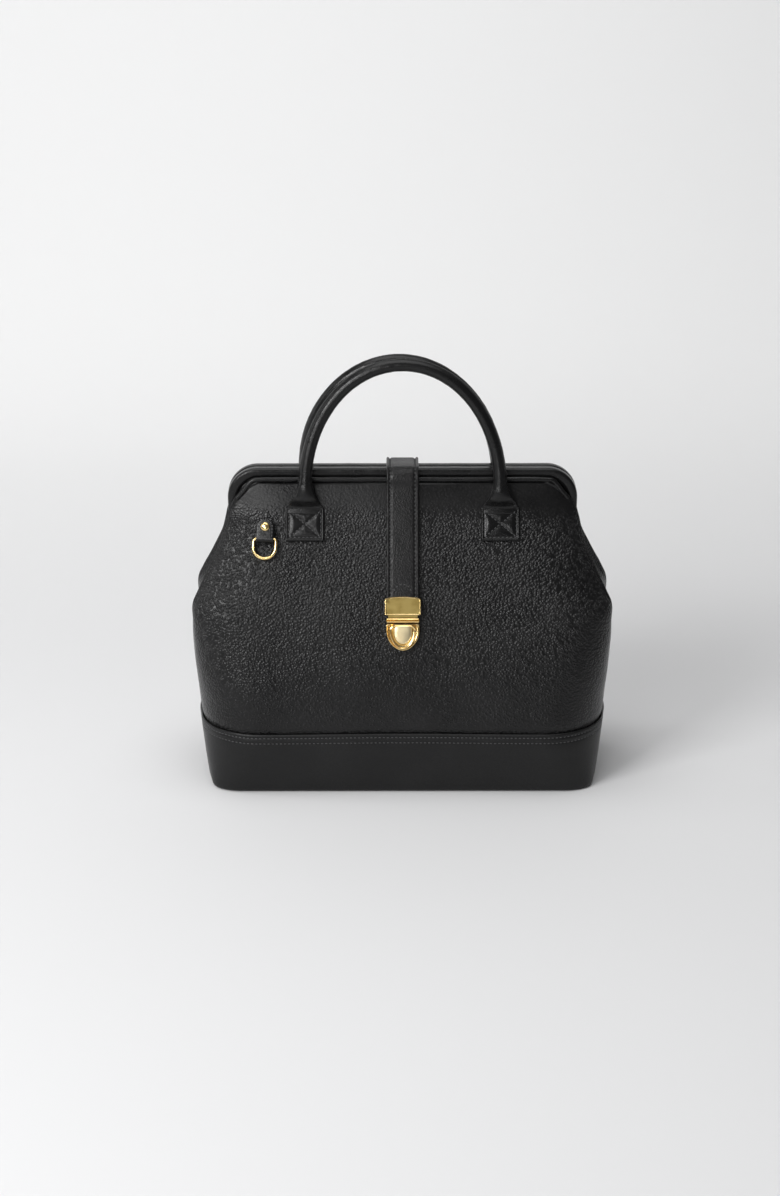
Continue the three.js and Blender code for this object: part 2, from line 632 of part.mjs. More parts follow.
function addRing() {
  const group = surfaceGroup(RING_AT.x, RING_AT.z);
  const layer = 1.4;
  const foldOuter = RING_WIRE + GAP + layer;
  const barOut = 4 * GAP + foldOuter;
  const ring = ringLoop();
  ring.translate(0, 0, barOut);
  addMesh('d_ring', ring, LOOK.brass, group);

  // The tab goes down behind the bar, round it, and back up in front, as one folded strip.
  const profile = new THREE.Shape();
  profile.moveTo(TAB_LENGTH, foldOuter);
  profile.lineTo(0, foldOuter);
  profile.absarc(0, 0, foldOuter, Math.PI / 2, (3 * Math.PI) / 2, false);
  profile.lineTo(TAB_LENGTH, -foldOuter);
  profile.lineTo(TAB_LENGTH, -foldOuter + layer);
  profile.lineTo(0, -foldOuter + layer);
  profile.absarc(0, 0, RING_WIRE + GAP, (3 * Math.PI) / 2, Math.PI / 2, true);
  profile.lineTo(TAB_LENGTH, foldOuter - layer);
  const strip3d = new THREE.ExtrudeGeometry(profile, { depth: TAB_WIDTH, bevelEnabled: false, curveSegments: 8 });
  strip3d.applyMatrix4(new THREE.Matrix4().makeBasis(
    new THREE.Vector3(0, 1, 0), new THREE.Vector3(0, 0, 1), new THREE.Vector3(1, 0, 0)));
  strip3d.translate(-TAB_WIDTH / 2, 0, barOut);
  const post = (radius, from, to) =>
    new THREE.CylinderGeometry(radius, radius, to - from, 16).rotateX(Math.PI / 2).translate(0, RIVET_RISE, (from + to) / 2);
  addMesh('d_ring_tab', cut(strip3d, post(1.5 + GAP, -1, 12)), LOOK.smoothLeather, group);

  const postLow = barOut - foldOuter;
  const headLow = barOut + foldOuter + GAP;
  const rivet = [
    [0, postLow], [1.5, postLow], [1.5, headLow], [RIVET_RADIUS, headLow],
    [RIVET_RADIUS, headLow + 0.6], [3.2, headLow + 1.5], [1.8, headLow + 2.1], [0, headLow + 2.3],
  ].map(([r, z]) => new THREE.Vector2(r, z));
  const cap = new THREE.LatheGeometry(rivet, 20).rotateX(Math.PI / 2).translate(0, RIVET_RISE, 0);
  addMesh('d_ring_rivet', cap, LOOK.brass, group);
}

// ---------------------------------------------------------------- assembly

addBase();
addShell();
addLining();
addPiping();
addFrame();
addTwins('right_hinge_rivet', 'left_hinge_rivet', hingeRivet(), LOOK.steel);
addHandles();
addStrap();
addLock();
addHasp();
addRing();

export default bag;
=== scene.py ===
"""The looks of a doctor bag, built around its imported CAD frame.

Lengths in the tables and constants are millimetres, and the meshes are written in metres. +Z is up and the
front, with the lock, faces -Y. Each soft CAD solid is replaced by a mesh lofted over the same surface, then
sagged, creased, piped and stitched. The metal parts are lofted with bevels, on that surface too.
"""

import json
import math

import bpy
import numpy as np
from mathutils import Matrix, Vector, noise


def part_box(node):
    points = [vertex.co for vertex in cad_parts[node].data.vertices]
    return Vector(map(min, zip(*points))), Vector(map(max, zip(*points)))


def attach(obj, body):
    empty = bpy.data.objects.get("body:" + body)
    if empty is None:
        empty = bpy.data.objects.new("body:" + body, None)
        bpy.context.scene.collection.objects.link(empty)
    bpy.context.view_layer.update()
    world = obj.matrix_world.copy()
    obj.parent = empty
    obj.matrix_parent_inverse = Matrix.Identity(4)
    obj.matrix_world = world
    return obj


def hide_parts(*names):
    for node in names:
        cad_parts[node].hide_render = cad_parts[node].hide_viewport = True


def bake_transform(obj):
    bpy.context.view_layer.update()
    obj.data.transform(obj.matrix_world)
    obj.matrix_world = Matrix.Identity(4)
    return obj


MM = 0.001

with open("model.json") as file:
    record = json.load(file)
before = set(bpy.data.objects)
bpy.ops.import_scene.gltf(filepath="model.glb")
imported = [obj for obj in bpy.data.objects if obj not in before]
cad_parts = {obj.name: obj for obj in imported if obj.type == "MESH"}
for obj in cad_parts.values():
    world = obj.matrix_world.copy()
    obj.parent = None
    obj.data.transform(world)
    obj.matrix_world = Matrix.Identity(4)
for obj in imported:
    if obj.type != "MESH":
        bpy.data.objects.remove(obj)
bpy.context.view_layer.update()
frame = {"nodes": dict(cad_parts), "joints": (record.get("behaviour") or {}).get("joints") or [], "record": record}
NODES = frame["nodes"]
PIVOTS = {joint["name"]: joint.get("pos_m") for joint in frame["joints"]}

# ---------------------------------------------------------------- driving dimensions


def box_mm(node):
    """Lowest and highest corner of a CAD node in millimetres."""
    low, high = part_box(node)
    return np.array(low) / MM, np.array(high) / MM


BAND_TOP = box_mm("base_band_front")[1][2]
PANEL_TOP = box_mm("front_panel")[1][2]
GUSSET_TOP = box_mm("right_gusset")[1][2]
FRAME_LOW, FRAME_HIGH = box_mm("front_frame_cover")
PATCH_LOW, PATCH_HIGH = box_mm("front_right_handle_patch")
PATCH_CENTRE = (PATCH_LOW[0] + PATCH_HIGH[0]) / 2
HASP_TOP = box_mm("hasp_front_plate")[1][2]
STRAP_HALF = box_mm("strap")[1][0]
HINGE_HEIGHT = PIVOTS["mouth_open"][2] / MM
STRAP_FOLD = np.array(PIVOTS["strap_lift"]) / MM
HANDLE_FOLD = np.array(PIVOTS["front_handle_swing"]) / MM

# The bag's surface: smooth curves through (height, value) keys.
FRONT_DEPTH = [(0, 75.5), (20, 77.5), (56, 79.5), (110, 77.5), (165, 64), (210, 46), (248, 28), (282, 15.5)]
CROWN = [(0, 0), (56, -2.5), (110, 0.5), (165, 2), (282, 2)]
RIDGE_HALF_WIDTH = [(0, 176), (56, 187), (110, 191.5), (160, 194), (174, 192.8), (185, 187.6), (198, 180),
                    (213, 172.5), (228, 166), (240, 162.5), (252, 159.5), (260, 155.5), (266, 150.5),
                    (272, 145.5), (277, 139.5), (282, 130)]
RIDGE_DEPTH = [(0, 60), (56, 26), (110, 32), (160, 38), (182, 37), (197, 33), (214, 27), (226, 20),
               (240, 14.3), (282, 13)]
CORNER_WIDTH = [(0, 26), (56, 56), (110, 58), (165, 56), (213, 68), (250, 60), (282, 40)]
SIDE_HALF_WIDTH = [(0, 182.5), (30, 187), (56, 189.6), (110, 195), (145, 196.2), (162, 193), (178, 180),
                   (200, 163), (226, 153)]
FOLD_SHARPNESS = [(0, 2), (150, 2), (190, 1.35), (226, 1.2)]
FLAT_SHARE = 0.7

LEATHER = 1.8
STITCH_PITCH = 3.8
STITCH_LENGTH = 2.3
THREAD_RADIUS = 0.5
PIPING_RADIUS = 2.2
HANDLE_RADIUS = 5.75
RING_WIRE = 1.55
RING_AT = (-125.6, 232.6)
RING_RADIUS = 10.35
RING_DROP = 7.5
RING_BAR_OUT = 4.45
RING_CORNER = 2.6
RIVET_RISE = 11.2
TAB_WIDTH = 16
TAB_TOP = 18.6
TAB_LAYER = 1.4
TAB_STITCH_INSET = 1.5
TAB_STITCH_PITCH = 3.0
RIVET_RADIUS = 4.1
LOCK_HEIGHT = 151.3
COLLAR_RISE = 15.2
NECK_RISE = 19.6
HASP_RISE = 27.8
BUTTON_RISE = 2.2
LOCK_HALF = (15.3, 12.4)
LOCK_FRONT = 8.5
BUTTON_HALF = (8.2, 8.4)
BUTTON_CORNER = 0.55
HASP_HALF = (16.5, 8.2)
HASP_BACK_OUT, HASP_FRONT_OUT = 5.9, 7.9
HASP_LOW_CORNER = 0.8
COLLAR_HALF = 14.9
FRAME_CORNER = 28
BAR_HALF = 4.75
PIPING_DEPTH = 13.5
ARCH_LOW = 285
ARCH_DEPTH = 8
CORE_START = 12
CORE_TWIST = 24
STRAP_THICKNESS = 2.6
STRAP_LIFT = 1.8
STRAP_CREST_DROP = 1.7
ARCH_STITCH_OUT = 4.5
BAND_WAVY_FROM = 1.55
SHELL_FOOT = 8
LINING_THICKNESS = 0.6
FACING_THICKNESS = 1.0
HANDLE_SPLAY = 2
BACK_HANDLE_LEAN = 3
COLUMNS_FLAT = 150
COLUMNS_CORNER = 34
COLUMNS_SIDE = 22
ROW_STEP = 2


# ---------------------------------------------------------------- curves and noise


def at(keys, z):
    """Cubic curve through the keys whose slopes are the chords between neighbouring keys."""
    heights, values = np.array(keys, float).T
    slopes = np.gradient(values, heights)
    slopes[1:-1] = (values[2:] - values[:-2]) / (heights[2:] - heights[:-2])
    z = np.clip(z, heights[0], heights[-1])
    i = np.clip(np.searchsorted(heights, z, side="right") - 1, 0, len(heights) - 2)
    step = heights[i + 1] - heights[i]
    t = (z - heights[i]) / step
    rise = values[i + 1] - values[i]
    bend_low = slopes[i] * step - rise
    bend_high = -slopes[i + 1] * step + rise
    return values[i] + rise * t + t * (1 - t) * (bend_low * (1 - t) + bend_high * t)


def smooth(low, high, value):
    t = np.clip((value - low) / (high - low), 0, 1)
    return t * t * (3 - 2 * t)


def bump(value, centre, width):
    return np.exp(-(((value - centre) / width) ** 2))


def noise_at(points, scale, seed=0.0):
    """Smooth noise, about -1 to 1, at each point of an array; scale is the size of one lump."""
    flat = points.reshape(-1, 3) / scale + seed
    return np.array([noise.noise(p) for p in flat.tolist()]).reshape(points.shape[:-1])


def unit(vectors):
    return vectors / np.maximum(np.linalg.norm(vectors, axis=-1, keepdims=True), 1e-9)


def front_curve(s, z):
    """The front at height z: s runs from the left ridge, -1, to the right ridge, 1."""
    s, z = np.broadcast_arrays(np.asarray(s, float), np.asarray(z, float))
    share = np.abs(s)
    ridge = at(RIDGE_DEPTH, z)
    corner = at(CORNER_WIDTH, z)
    flat = at(RIDGE_HALF_WIDTH, z) - corner
    crown = at(CROWN, z)
    rise = at(FRONT_DEPTH, z) - crown - ridge
    turn = (1 - share) / (1 - FLAT_SHARE) * math.pi / 2
    on_corner = share > FLAT_SHARE
    q = s / FLAT_SHARE
    x = np.where(on_corner, np.sign(s) * (flat + corner * np.cos(turn)), flat * q)
    swell = rise + crown * np.cos(np.clip(q, -1, 1) * math.pi / 2) ** 2
    y = -(ridge + np.where(on_corner, rise * np.sin(np.minimum(turn, math.pi / 2)), swell))
    return np.stack([x, y, z], -1)


def side_curve(s, z):
    """The right side at height z: s runs from the front ridge, -1, to the back ridge, 1."""
    s, z = np.broadcast_arrays(np.asarray(s, float), np.asarray(z, float))
    ridge = at(RIDGE_HALF_WIDTH, z)
    middle = at(SIDE_HALF_WIDTH, z)
    x = middle + (ridge - middle) * np.abs(s) ** at(FOLD_SHARPNESS, z)
    return np.stack([x, s * at(RIDGE_DEPTH, z), z], -1)


def front_parameter(x, z):
    corner = at(CORNER_WIDTH, z)
    flat = at(RIDGE_HALF_WIDTH, z) - corner
    size = np.abs(x)
    turn = np.arccos(np.clip((size - flat) / corner, 0, 1))
    bent = np.sign(x) * (1 - turn / (math.pi / 2) * (1 - FLAT_SHARE))
    return np.where(size <= flat, x / flat * FLAT_SHARE, bent)


def on_front(x, z):
    x, z = np.broadcast_arrays(np.asarray(x, float), np.asarray(z, float))
    return front_curve(front_parameter(x, z), z)


def grid_normals(points, closed=False):
    """Normals of a (rows, columns, 3) grid whose columns run along and whose rows run up."""
    if closed:
        along = np.roll(points, -1, 1) - np.roll(points, 1, 1)
    else:
        along = np.gradient(points, axis=1)
    up = np.gradient(points, axis=0)
    return unit(np.cross(along, up))


def surface_frame(x, z):
    """A 4x4 matrix whose X runs across the front's surface, Y up it and Z out of it, in millimetres."""
    across = unit(on_front(x + 0.5, z) - on_front(x - 0.5, z))
    up = on_front(x, z + 0.1) - on_front(x, z - 0.1)
    out = unit(np.cross(across, up))
    matrix = np.eye(4)
    matrix[:3, :3] = np.stack([across, np.cross(out, across), out], 1)
    matrix[:3, 3] = on_front(x, z)
    return matrix


def place(points, matrix):
    return points @ matrix[:3, :3].T + matrix[:3, 3]


def turned(points):
    """The same points on the back of the bag, half a turn round."""
    return points * np.array([-1.0, -1.0, 1.0])


def turn_round(obj):
    """Moves a finished mesh to the back of the bag, half a turn round."""
    obj.data.transform(Matrix.Rotation(math.pi, 4, "Z"))


def lifted(loop, height):
    """A flat loop of (x, y) as points at one height."""
    return np.concatenate([loop, np.full((len(loop), 1), height)], 1)


def along_path(points, pitch):
    """Points at an even pitch along a polyline, with their unit tangents."""
    lengths = np.concatenate([[0], np.cumsum(np.linalg.norm(np.diff(points, axis=0), axis=1))])
    stations = np.arange(pitch / 2, lengths[-1], pitch)
    even = np.stack([np.interp(stations, lengths, points[:, k]) for k in range(3)], 1)
    slopes = [np.gradient(points[:, k], lengths) for k in range(3)]
    tangents = np.stack([np.interp(stations, lengths, slope) for slope in slopes], 1)
    return even, unit(tangents)


def spline(keys, count):
    """A smooth path through the keys, with knots spaced by the square root of their distances."""
    keys = np.array(keys, float)
    steps = np.linalg.norm(np.diff(keys, axis=0), axis=1) ** 0.5
    knots = np.concatenate([[0], np.cumsum(steps)])
    table = [np.stack([knots, keys[:, k]], 1) for k in range(3)]
    t = np.linspace(0, knots[-1], count)
    return np.stack([at(column, t) for column in table], 1)


# ---------------------------------------------------------------- meshes


def make_mesh(name, points, faces, material):
    """A smooth-shaded object from points in millimetres."""
    mesh = bpy.data.meshes.new(name)
    mesh.from_pydata((np.asarray(points, float).reshape(-1, 3) * MM).tolist(), [], faces)
    mesh.update()
    obj = bpy.data.objects.new(name, mesh)
    bpy.context.scene.collection.objects.link(obj)
    for item in material if isinstance(material, (list, tuple)) else [material]:
        mesh.materials.append(item)
    mesh.polygons.foreach_set("use_smooth", [True] * len(mesh.polygons))
    return obj


def grid_faces(rows, columns, closed_across=False, closed_up=False, start=0):
    faces = []
    for i in range(rows if closed_up else rows - 1):
        above = (i + 1) % rows
        for j in range(columns if closed_across else columns - 1):
            k = (j + 1) % columns
            faces.append((start + i * columns + j, start + i * columns + k,
                          start + above * columns + k, start + above * columns + j))
    return faces


def loft(name, loops, material, caps=(True, True), crease=None):
    """A solid skinned over closed loops with equal point counts, capped at both ends."""
    loops = np.array(loops, float)
    rows, columns = loops.shape[:2]
    faces = grid_faces(rows, columns, closed_across=True)
    if caps[0]:
        faces.append(tuple(range(columns - 1, -1, -1)))
    if caps[1]:
        faces.append(tuple(range((rows - 1) * columns, rows * columns)))
    obj = make_mesh(name, loops, faces, material)
    if crease:
        shade_by_angle(obj, crease)
    return obj


def shade_by_angle(obj, degrees):
    """Marks edges sharper than an angle as sharp."""
    obj.data.set_sharp_from_angle(angle=math.radians(degrees))


def sheet(name, outer, inner, material):
    """A closed sheet between two grids of the same size."""
    rows, columns = outer.shape[:2]
    size = rows * columns
    faces = grid_faces(rows, columns)
    faces += [tuple(reversed([v + size for v in face])) for face in grid_faces(rows, columns)]
    rim = list(range(columns))
    rim += [i * columns + columns - 1 for i in range(1, rows)]
    rim += [(rows - 1) * columns + j for j in range(columns - 2, -1, -1)]
    rim += [i * columns for i in range(rows - 2, 0, -1)]
    for a, b in zip(rim, rim[1:] + rim[:1]):
        faces.append((b, a, a + size, b + size))
    return make_mesh(name, np.concatenate([outer.reshape(-1, 3), inner.reshape(-1, 3)]), faces, material)


def sweep(name, centres, across, out, profile, material, caps=True):
    """A bar with the profile (a, b) at each centre, a along across, b along out; it may vary by station."""
    profile = np.asarray(profile, float)
    if profile.ndim == 2:
        profile = np.broadcast_to(profile, (len(centres),) + profile.shape)
    loops = (centres[:, None, :] + profile[..., :1] * across[:, None, :] + profile[..., 1:] * out[:, None, :])
    return loft(name, loops, material, (caps, caps))


def circle(radius, count):
    turn = np.linspace(0, 2 * math.pi, count, endpoint=False)
    return np.stack([radius * np.cos(turn), radius * np.sin(turn)], 1)


def rounded_bar(half_a, half_b, power, count):
    """A rectangle with rounded corners: a superellipse."""
    turn = np.linspace(0, 2 * math.pi, count, endpoint=False)
    c, s = np.cos(turn), np.sin(turn)
    return np.stack([half_a * np.sign(c) * np.abs(c) ** (2 / power),
                     half_b * np.sign(s) * np.abs(s) ** (2 / power)], 1)


def lathe(name, profile, matrix, material, segments=48):
    """A turned part: profile of (radius, height) along the matrix's Z."""
    turn = np.linspace(0, 2 * math.pi, segments, endpoint=False)
    loops = [np.stack([r * np.cos(turn), r * np.sin(turn), np.full(segments, h)], 1) for r, h in profile]
    return loft(name, [place(loop, matrix) for loop in loops], material, crease=40)


def stitches(name, centres, tangents, normals, material):
    """A row of thread stitches, each a small capsule lying half sunk in the leather."""
    sides = 6
    stations = [(-1.0, 0.05), (-0.85, 0.6), (-0.4, 1.0), (0.4, 1.0), (0.85, 0.6), (1.0, 0.05)]
    turn = np.linspace(0, 2 * math.pi, sides, endpoint=False)
    half, thick = STITCH_LENGTH / 2, THREAD_RADIUS
    template = np.array([(x * half, r * thick * math.cos(a), r * thick * math.sin(a))
                         for x, r in stations for a in turn])
    sideways = unit(np.cross(normals, tangents))
    points = (centres[:, None, :] + template[None, :, :1] * tangents[:, None, :]
              + template[None, :, 1:2] * sideways[:, None, :] + template[None, :, 2:] * normals[:, None, :])
    faces = []
    for n in range(len(centres)):
        start = n * len(template)
        faces += grid_faces(len(stations), sides, closed_across=True, start=start)
        faces.append(tuple(start + k for k in range(sides - 1, -1, -1)))
        faces.append(tuple(start + (len(stations) - 1) * sides + k for k in range(sides)))
    return make_mesh(name, points, faces, material)


# ---------------------------------------------------------------- materials


class Nodes:
    """Short calls for building one material's node tree."""

    def __init__(self, name, slot=None):
        self.material = bpy.data.materials.new(name)
        self.material.use_nodes = True
        self.tree = self.material.node_tree
        self.shader = self.tree.nodes["Principled BSDF"]
        self.coordinates = self.add("ShaderNodeTexCoord").outputs["Object"]
        self.material["slot"] = slot or name

    def add(self, kind, **settings):
        node = self.tree.nodes.new(kind)
        for key, value in settings.items():
            setattr(node, key, value)
        return node

    def link(self, source, target):
        self.tree.links.new(source, target)

    def noise(self, scale, detail=3.0, roughness=0.5, stretch=None):
        node = self.add("ShaderNodeTexNoise")
        node.inputs["Scale"].default_value = scale
        node.inputs["Detail"].default_value = detail
        node.inputs["Roughness"].default_value = roughness
        self.link(self.scaled(stretch) if stretch else self.coordinates, node.inputs["Vector"])
        return node.outputs["Fac"]

    def cells(self, scale, feature="F1", vector=None):
        node = self.add("ShaderNodeTexVoronoi", feature=feature)
        node.inputs["Scale"].default_value = scale
        self.link(vector or self.coordinates, node.inputs["Vector"])
        return node.outputs["Distance"]

    def scaled(self, stretch):
        node = self.add("ShaderNodeMapping")
        node.inputs["Scale"].default_value = stretch
        self.link(self.coordinates, node.inputs["Vector"])
        return node.outputs["Vector"]

    def warped(self, scale, amount):
        """The coordinates pushed about by noise, so that cells look grown and not computed."""
        wobble = self.add("ShaderNodeTexNoise")
        wobble.inputs["Scale"].default_value = scale
        self.link(self.coordinates, wobble.inputs["Vector"])
        mix = self.add("ShaderNodeVectorMath", operation="MULTIPLY_ADD")
        self.link(wobble.outputs["Color"], mix.inputs[0])
        mix.inputs[1].default_value = (amount, amount, amount)
        self.link(self.coordinates, mix.inputs[2])
        return mix.outputs["Vector"]

    def ramp(self, value, low, high, from_low=0.0, from_high=1.0):
        node = self.add("ShaderNodeMapRange", interpolation_type="SMOOTHSTEP")
        self.link(value, node.inputs["Value"])
        node.inputs["From Min"].default_value = from_low
        node.inputs["From Max"].default_value = from_high
        node.inputs["To Min"].default_value = low
        node.inputs["To Max"].default_value = high
        return node.outputs["Result"]

    def math(self, operation, a, b):
        node = self.add("ShaderNodeMath", operation=operation)
        for socket, value in zip(node.inputs, (a, b)):
            if isinstance(value, (int, float)):
                socket.default_value = value
            else:
                self.link(value, socket)
        return node.outputs["Value"]

    def mix_color(self, factor, a, b):
        node = self.add("ShaderNodeMix", data_type="RGBA")
        self.link(factor, node.inputs["Factor"])
        node.inputs["A"].default_value = (*a, 1)
        node.inputs["B"].default_value = (*b, 1)
        return node.outputs["Result"]

    def bump(self, height, distance, strength=1.0, below=None):
        node = self.add("ShaderNodeBump")
        node.inputs["Strength"].default_value = strength
        node.inputs["Distance"].default_value = distance
        self.link(height, node.inputs["Height"])
        if below:
            self.link(below, node.inputs["Normal"])
        return node.outputs["Normal"]

    def set(self, **values):
        """Sets shader inputs by name, underscores for spaces, to a number, a colour or a socket."""
        for key, value in values.items():
            socket = self.shader.inputs[key.replace("_", " ")]
            if isinstance(value, bpy.types.NodeSocket):
                self.link(value, socket)
            elif isinstance(value, tuple):
                socket.default_value = (*value, 1)
            else:
                socket.default_value = value


def grain_by_height(n):
    """The grain is deepest on the slopes and stretched flat just under the frame and near the band."""
    place_of = n.add("ShaderNodeSeparateXYZ")
    n.link(n.coordinates, place_of.inputs["Vector"])
    height = place_of.outputs["Z"]
    below = n.ramp(height, 0.65, 1.0, 0.07, 0.15)
    return n.math("MULTIPLY", below, n.ramp(height, 1.0, 0.1, 0.24, 0.266))


def leather(name, dark, light, grain_size, grain_depth, roughness, wear=0.03, fades=False):
    """Black leather: pebble grain, pores and uneven dye, with painted shade that darkens the grain's valleys and
    lightens its domes.
    """
    n = Nodes(name)
    cells = n.cells(1 / grain_size, "F1", n.warped(0.5 / grain_size, grain_size * 0.15))
    fine = n.noise(2.6 / grain_size, 2.0)
    broad = n.noise(22.0, 3.0)
    lumps = n.noise(0.45 / grain_size, 2.0)
    pebble = n.ramp(cells, 1.0, 0.0, 0.0, 0.8)
    domes = n.math("SUBTRACT", pebble, 0.5)
    uneven = n.ramp(lumps, 0.75, 1.25, 0.3, 0.7)
    height = n.math("ADD", n.math("MULTIPLY", domes, uneven), n.math("MULTIPLY", fine, 0.25))
    if fades:
        height = n.math("MULTIPLY", height, grain_by_height(n))
    # Colour from uneven dye (broad noise) plus painted shade: darker in the grain's valleys, lighter on its domes.
    dye_and_valley_shade = n.math("ADD", n.math("MULTIPLY", broad, 0.75), n.math("MULTIPLY", pebble, 0.25))
    n.set(Base_Color=n.mix_color(n.ramp(dye_and_valley_shade, 0.0, 1.0, 0.3, 0.8), dark, light),
          Roughness=n.math("ADD", n.ramp(broad, roughness - wear, roughness + wear, 0.3, 0.7),
                           n.math("MULTIPLY", fine, 0.08)),
          Specular_IOR_Level=0.31,
          Sheen_Weight=0.03,
          Sheen_Roughness=0.4,
          Normal=n.bump(height, grain_depth, 1.0, n.bump(broad, 0.0006, 0.5)))
    return n.material


def thread(name):
    """Waxed thread with a twist, its grey lighter than the leather so the stitches read as bright dots: partly
    painted highlight.
    """
    n = Nodes(name, "smooth_leather")
    twist = n.noise(1400.0, 1.0)
    # Painted highlight in part: the thread's light grey stands for light caught on the stitches; the twist varies
    # it along.
    n.set(Base_Color=n.mix_color(twist, (0.02, 0.02, 0.02), (0.085, 0.085, 0.088)), Roughness=0.4,
          Normal=n.bump(twist, 0.0001))
    return n.material


def metal(name, slot, bright, dull, roughness, brushed=0.0):
    """Lacquered metal: brush lines, finger haze and darker tone in patches."""
    n = Nodes(name, slot)
    lines = n.noise(260.0, 2.0, 0.6, (1.0, 1.0, 14.0))
    haze = n.noise(90.0, 3.0)
    rough = n.math("ADD", n.ramp(haze, roughness - 0.04, roughness + 0.07, 0.3, 0.7),
                   n.math("MULTIPLY", lines, brushed))
    n.set(Base_Color=n.mix_color(n.ramp(haze, 0.0, 1.0, 0.35, 0.75), bright, dull), Metallic=1.0,
          Roughness=rough, Normal=n.bump(lines, 0.00006, 0.3 + brushed))
    return n.material


def cloth(name, dark, light, pitch):
    """Plain woven cloth."""
    n = Nodes(name)
    weave = []
    for axis in ("X", "Z"):
        wave = n.add("ShaderNodeTexWave", bands_direction=axis)
        wave.inputs["Scale"].default_value = 0.314 / pitch
        n.link(n.coordinates, wave.inputs["Vector"])
        weave.append(wave.outputs["Fac"])
    height = n.math("MULTIPLY", weave[0], weave[1])
    fleck = n.noise(500.0, 2.0)
    n.set(Base_Color=n.mix_color(n.math("MULTIPLY", height, fleck), dark, light), Roughness=0.9,
          Sheen_Weight=0.3, Normal=n.bump(height, 0.0003))
    return n.material


def board():
    n = Nodes("board")
    fibres = n.noise(300.0, 4.0, 0.6, (1.0, 4.0, 1.0))
    n.set(Base_Color=n.mix_color(fibres, (0.05, 0.035, 0.022), (0.12, 0.085, 0.055)), Roughness=0.85,
          Normal=n.bump(fibres, 0.0004))
    return n.material


def rope():
    n = Nodes("rope")
    lay = n.add("ShaderNodeTexWave", bands_direction="DIAGONAL")
    lay.inputs["Scale"].default_value = 90.0
    n.link(n.coordinates, lay.inputs["Vector"])
    n.set(Base_Color=n.mix_color(lay.outputs["Fac"], (0.2, 0.16, 0.11), (0.42, 0.36, 0.27)), Roughness=0.9,
          Normal=n.bump(lay.outputs["Fac"], 0.0008))
    return n.material


PANEL = leather("panel_leather", (0.0035, 0.0034, 0.0036), (0.0095, 0.0092, 0.0095), 0.0022, 0.00060, 0.26,
                fades=True)
BAND = leather("band_leather", (0.0040, 0.0040, 0.0042), (0.0090, 0.0090, 0.0093), 0.0011, 0.00010, 0.36)
SMOOTH = leather("smooth_leather", (0.0032, 0.0032, 0.0033), (0.0080, 0.0078, 0.0080), 0.0010, 0.00006, 0.23)
STRAP = leather("strap_leather", (0.0050, 0.0048, 0.0049), (0.0110, 0.0105, 0.0107), 0.0014, 0.00018, 0.31)
THREAD = thread("thread")
BRASS = metal("brass", "brass", (0.90, 0.68, 0.33), (0.66, 0.46, 0.18), 0.18)
# Brass with brush lines whose colour is painted far darker than the plain brass: painted shade on the hasp's
# plates and neck.
SHADED_BRUSHED_BRASS = metal("brushed_brass_painted_shade", "brass", (0.38, 0.285, 0.10), (0.27, 0.195, 0.06), 0.34, 0.25)
PALE_BRASS = metal("pale_brass", "pale_brass", (1.0, 0.84, 0.52), (0.95, 0.76, 0.44), 0.30, 0.05)
STEEL = metal("steel", "steel", (0.42, 0.42, 0.43), (0.24, 0.24, 0.25), 0.34, 0.15)
LINING = cloth("lining", (0.030, 0.026, 0.022), (0.075, 0.066, 0.056), 0.0008)
BOARD = board()
ROPE = rope()
SLOT_MATERIALS = {"panel_leather": PANEL, "band_leather": BAND, "smooth_leather": SMOOTH,
                  "strap_leather": STRAP, "lining": LINING, "board": BOARD, "rope": ROPE, "steel": STEEL,
                  "brass": BRASS, "pale_brass": PALE_BRASS}


def fit(obj, body, *nodes, blend=None):
    """Hides the CAD nodes a finished piece stands for and puts it on its body; a piece given a blend only has its
    transform baked and stays unparented.
    """
    if nodes:
        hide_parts(*nodes)
    if blend:
        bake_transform(obj)
    else:
        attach(obj, body)
    return obj


# ---------------------------------------------------------------- shell


def shell_columns():
    """The s of each column of half the shell: those of one half side, and those of the front."""
    side = np.linspace(0, 1, COLUMNS_SIDE, endpoint=False)
    corner = np.linspace(FLAT_SHARE, 1, COLUMNS_CORNER)
    flat = np.linspace(-FLAT_SHARE, FLAT_SHARE, COLUMNS_FLAT)[1:-1]
    front = np.concatenate([-corner[::-1], flat, corner])
    return side, front


def half_surface(z):
    """Points of half the bag's surface at the heights z, with each column's side flag and its s."""
    side, front = shell_columns()
    z = z[:, None]
    left = side_curve(-side[None, :], z) * np.array([-1.0, 1.0, 1.0])
    right = side_curve(-side[None, ::-1], z)
    points = np.concatenate([left, front_curve(front[None, :], z), right], 1)
    on_side = np.concatenate([np.ones(len(side), bool), np.zeros(len(front), bool), np.ones(len(side), bool)])
    parameter = np.concatenate([-1 - (1 - side), front, 1 + (1 - side[::-1])])
    return points, on_side, parameter


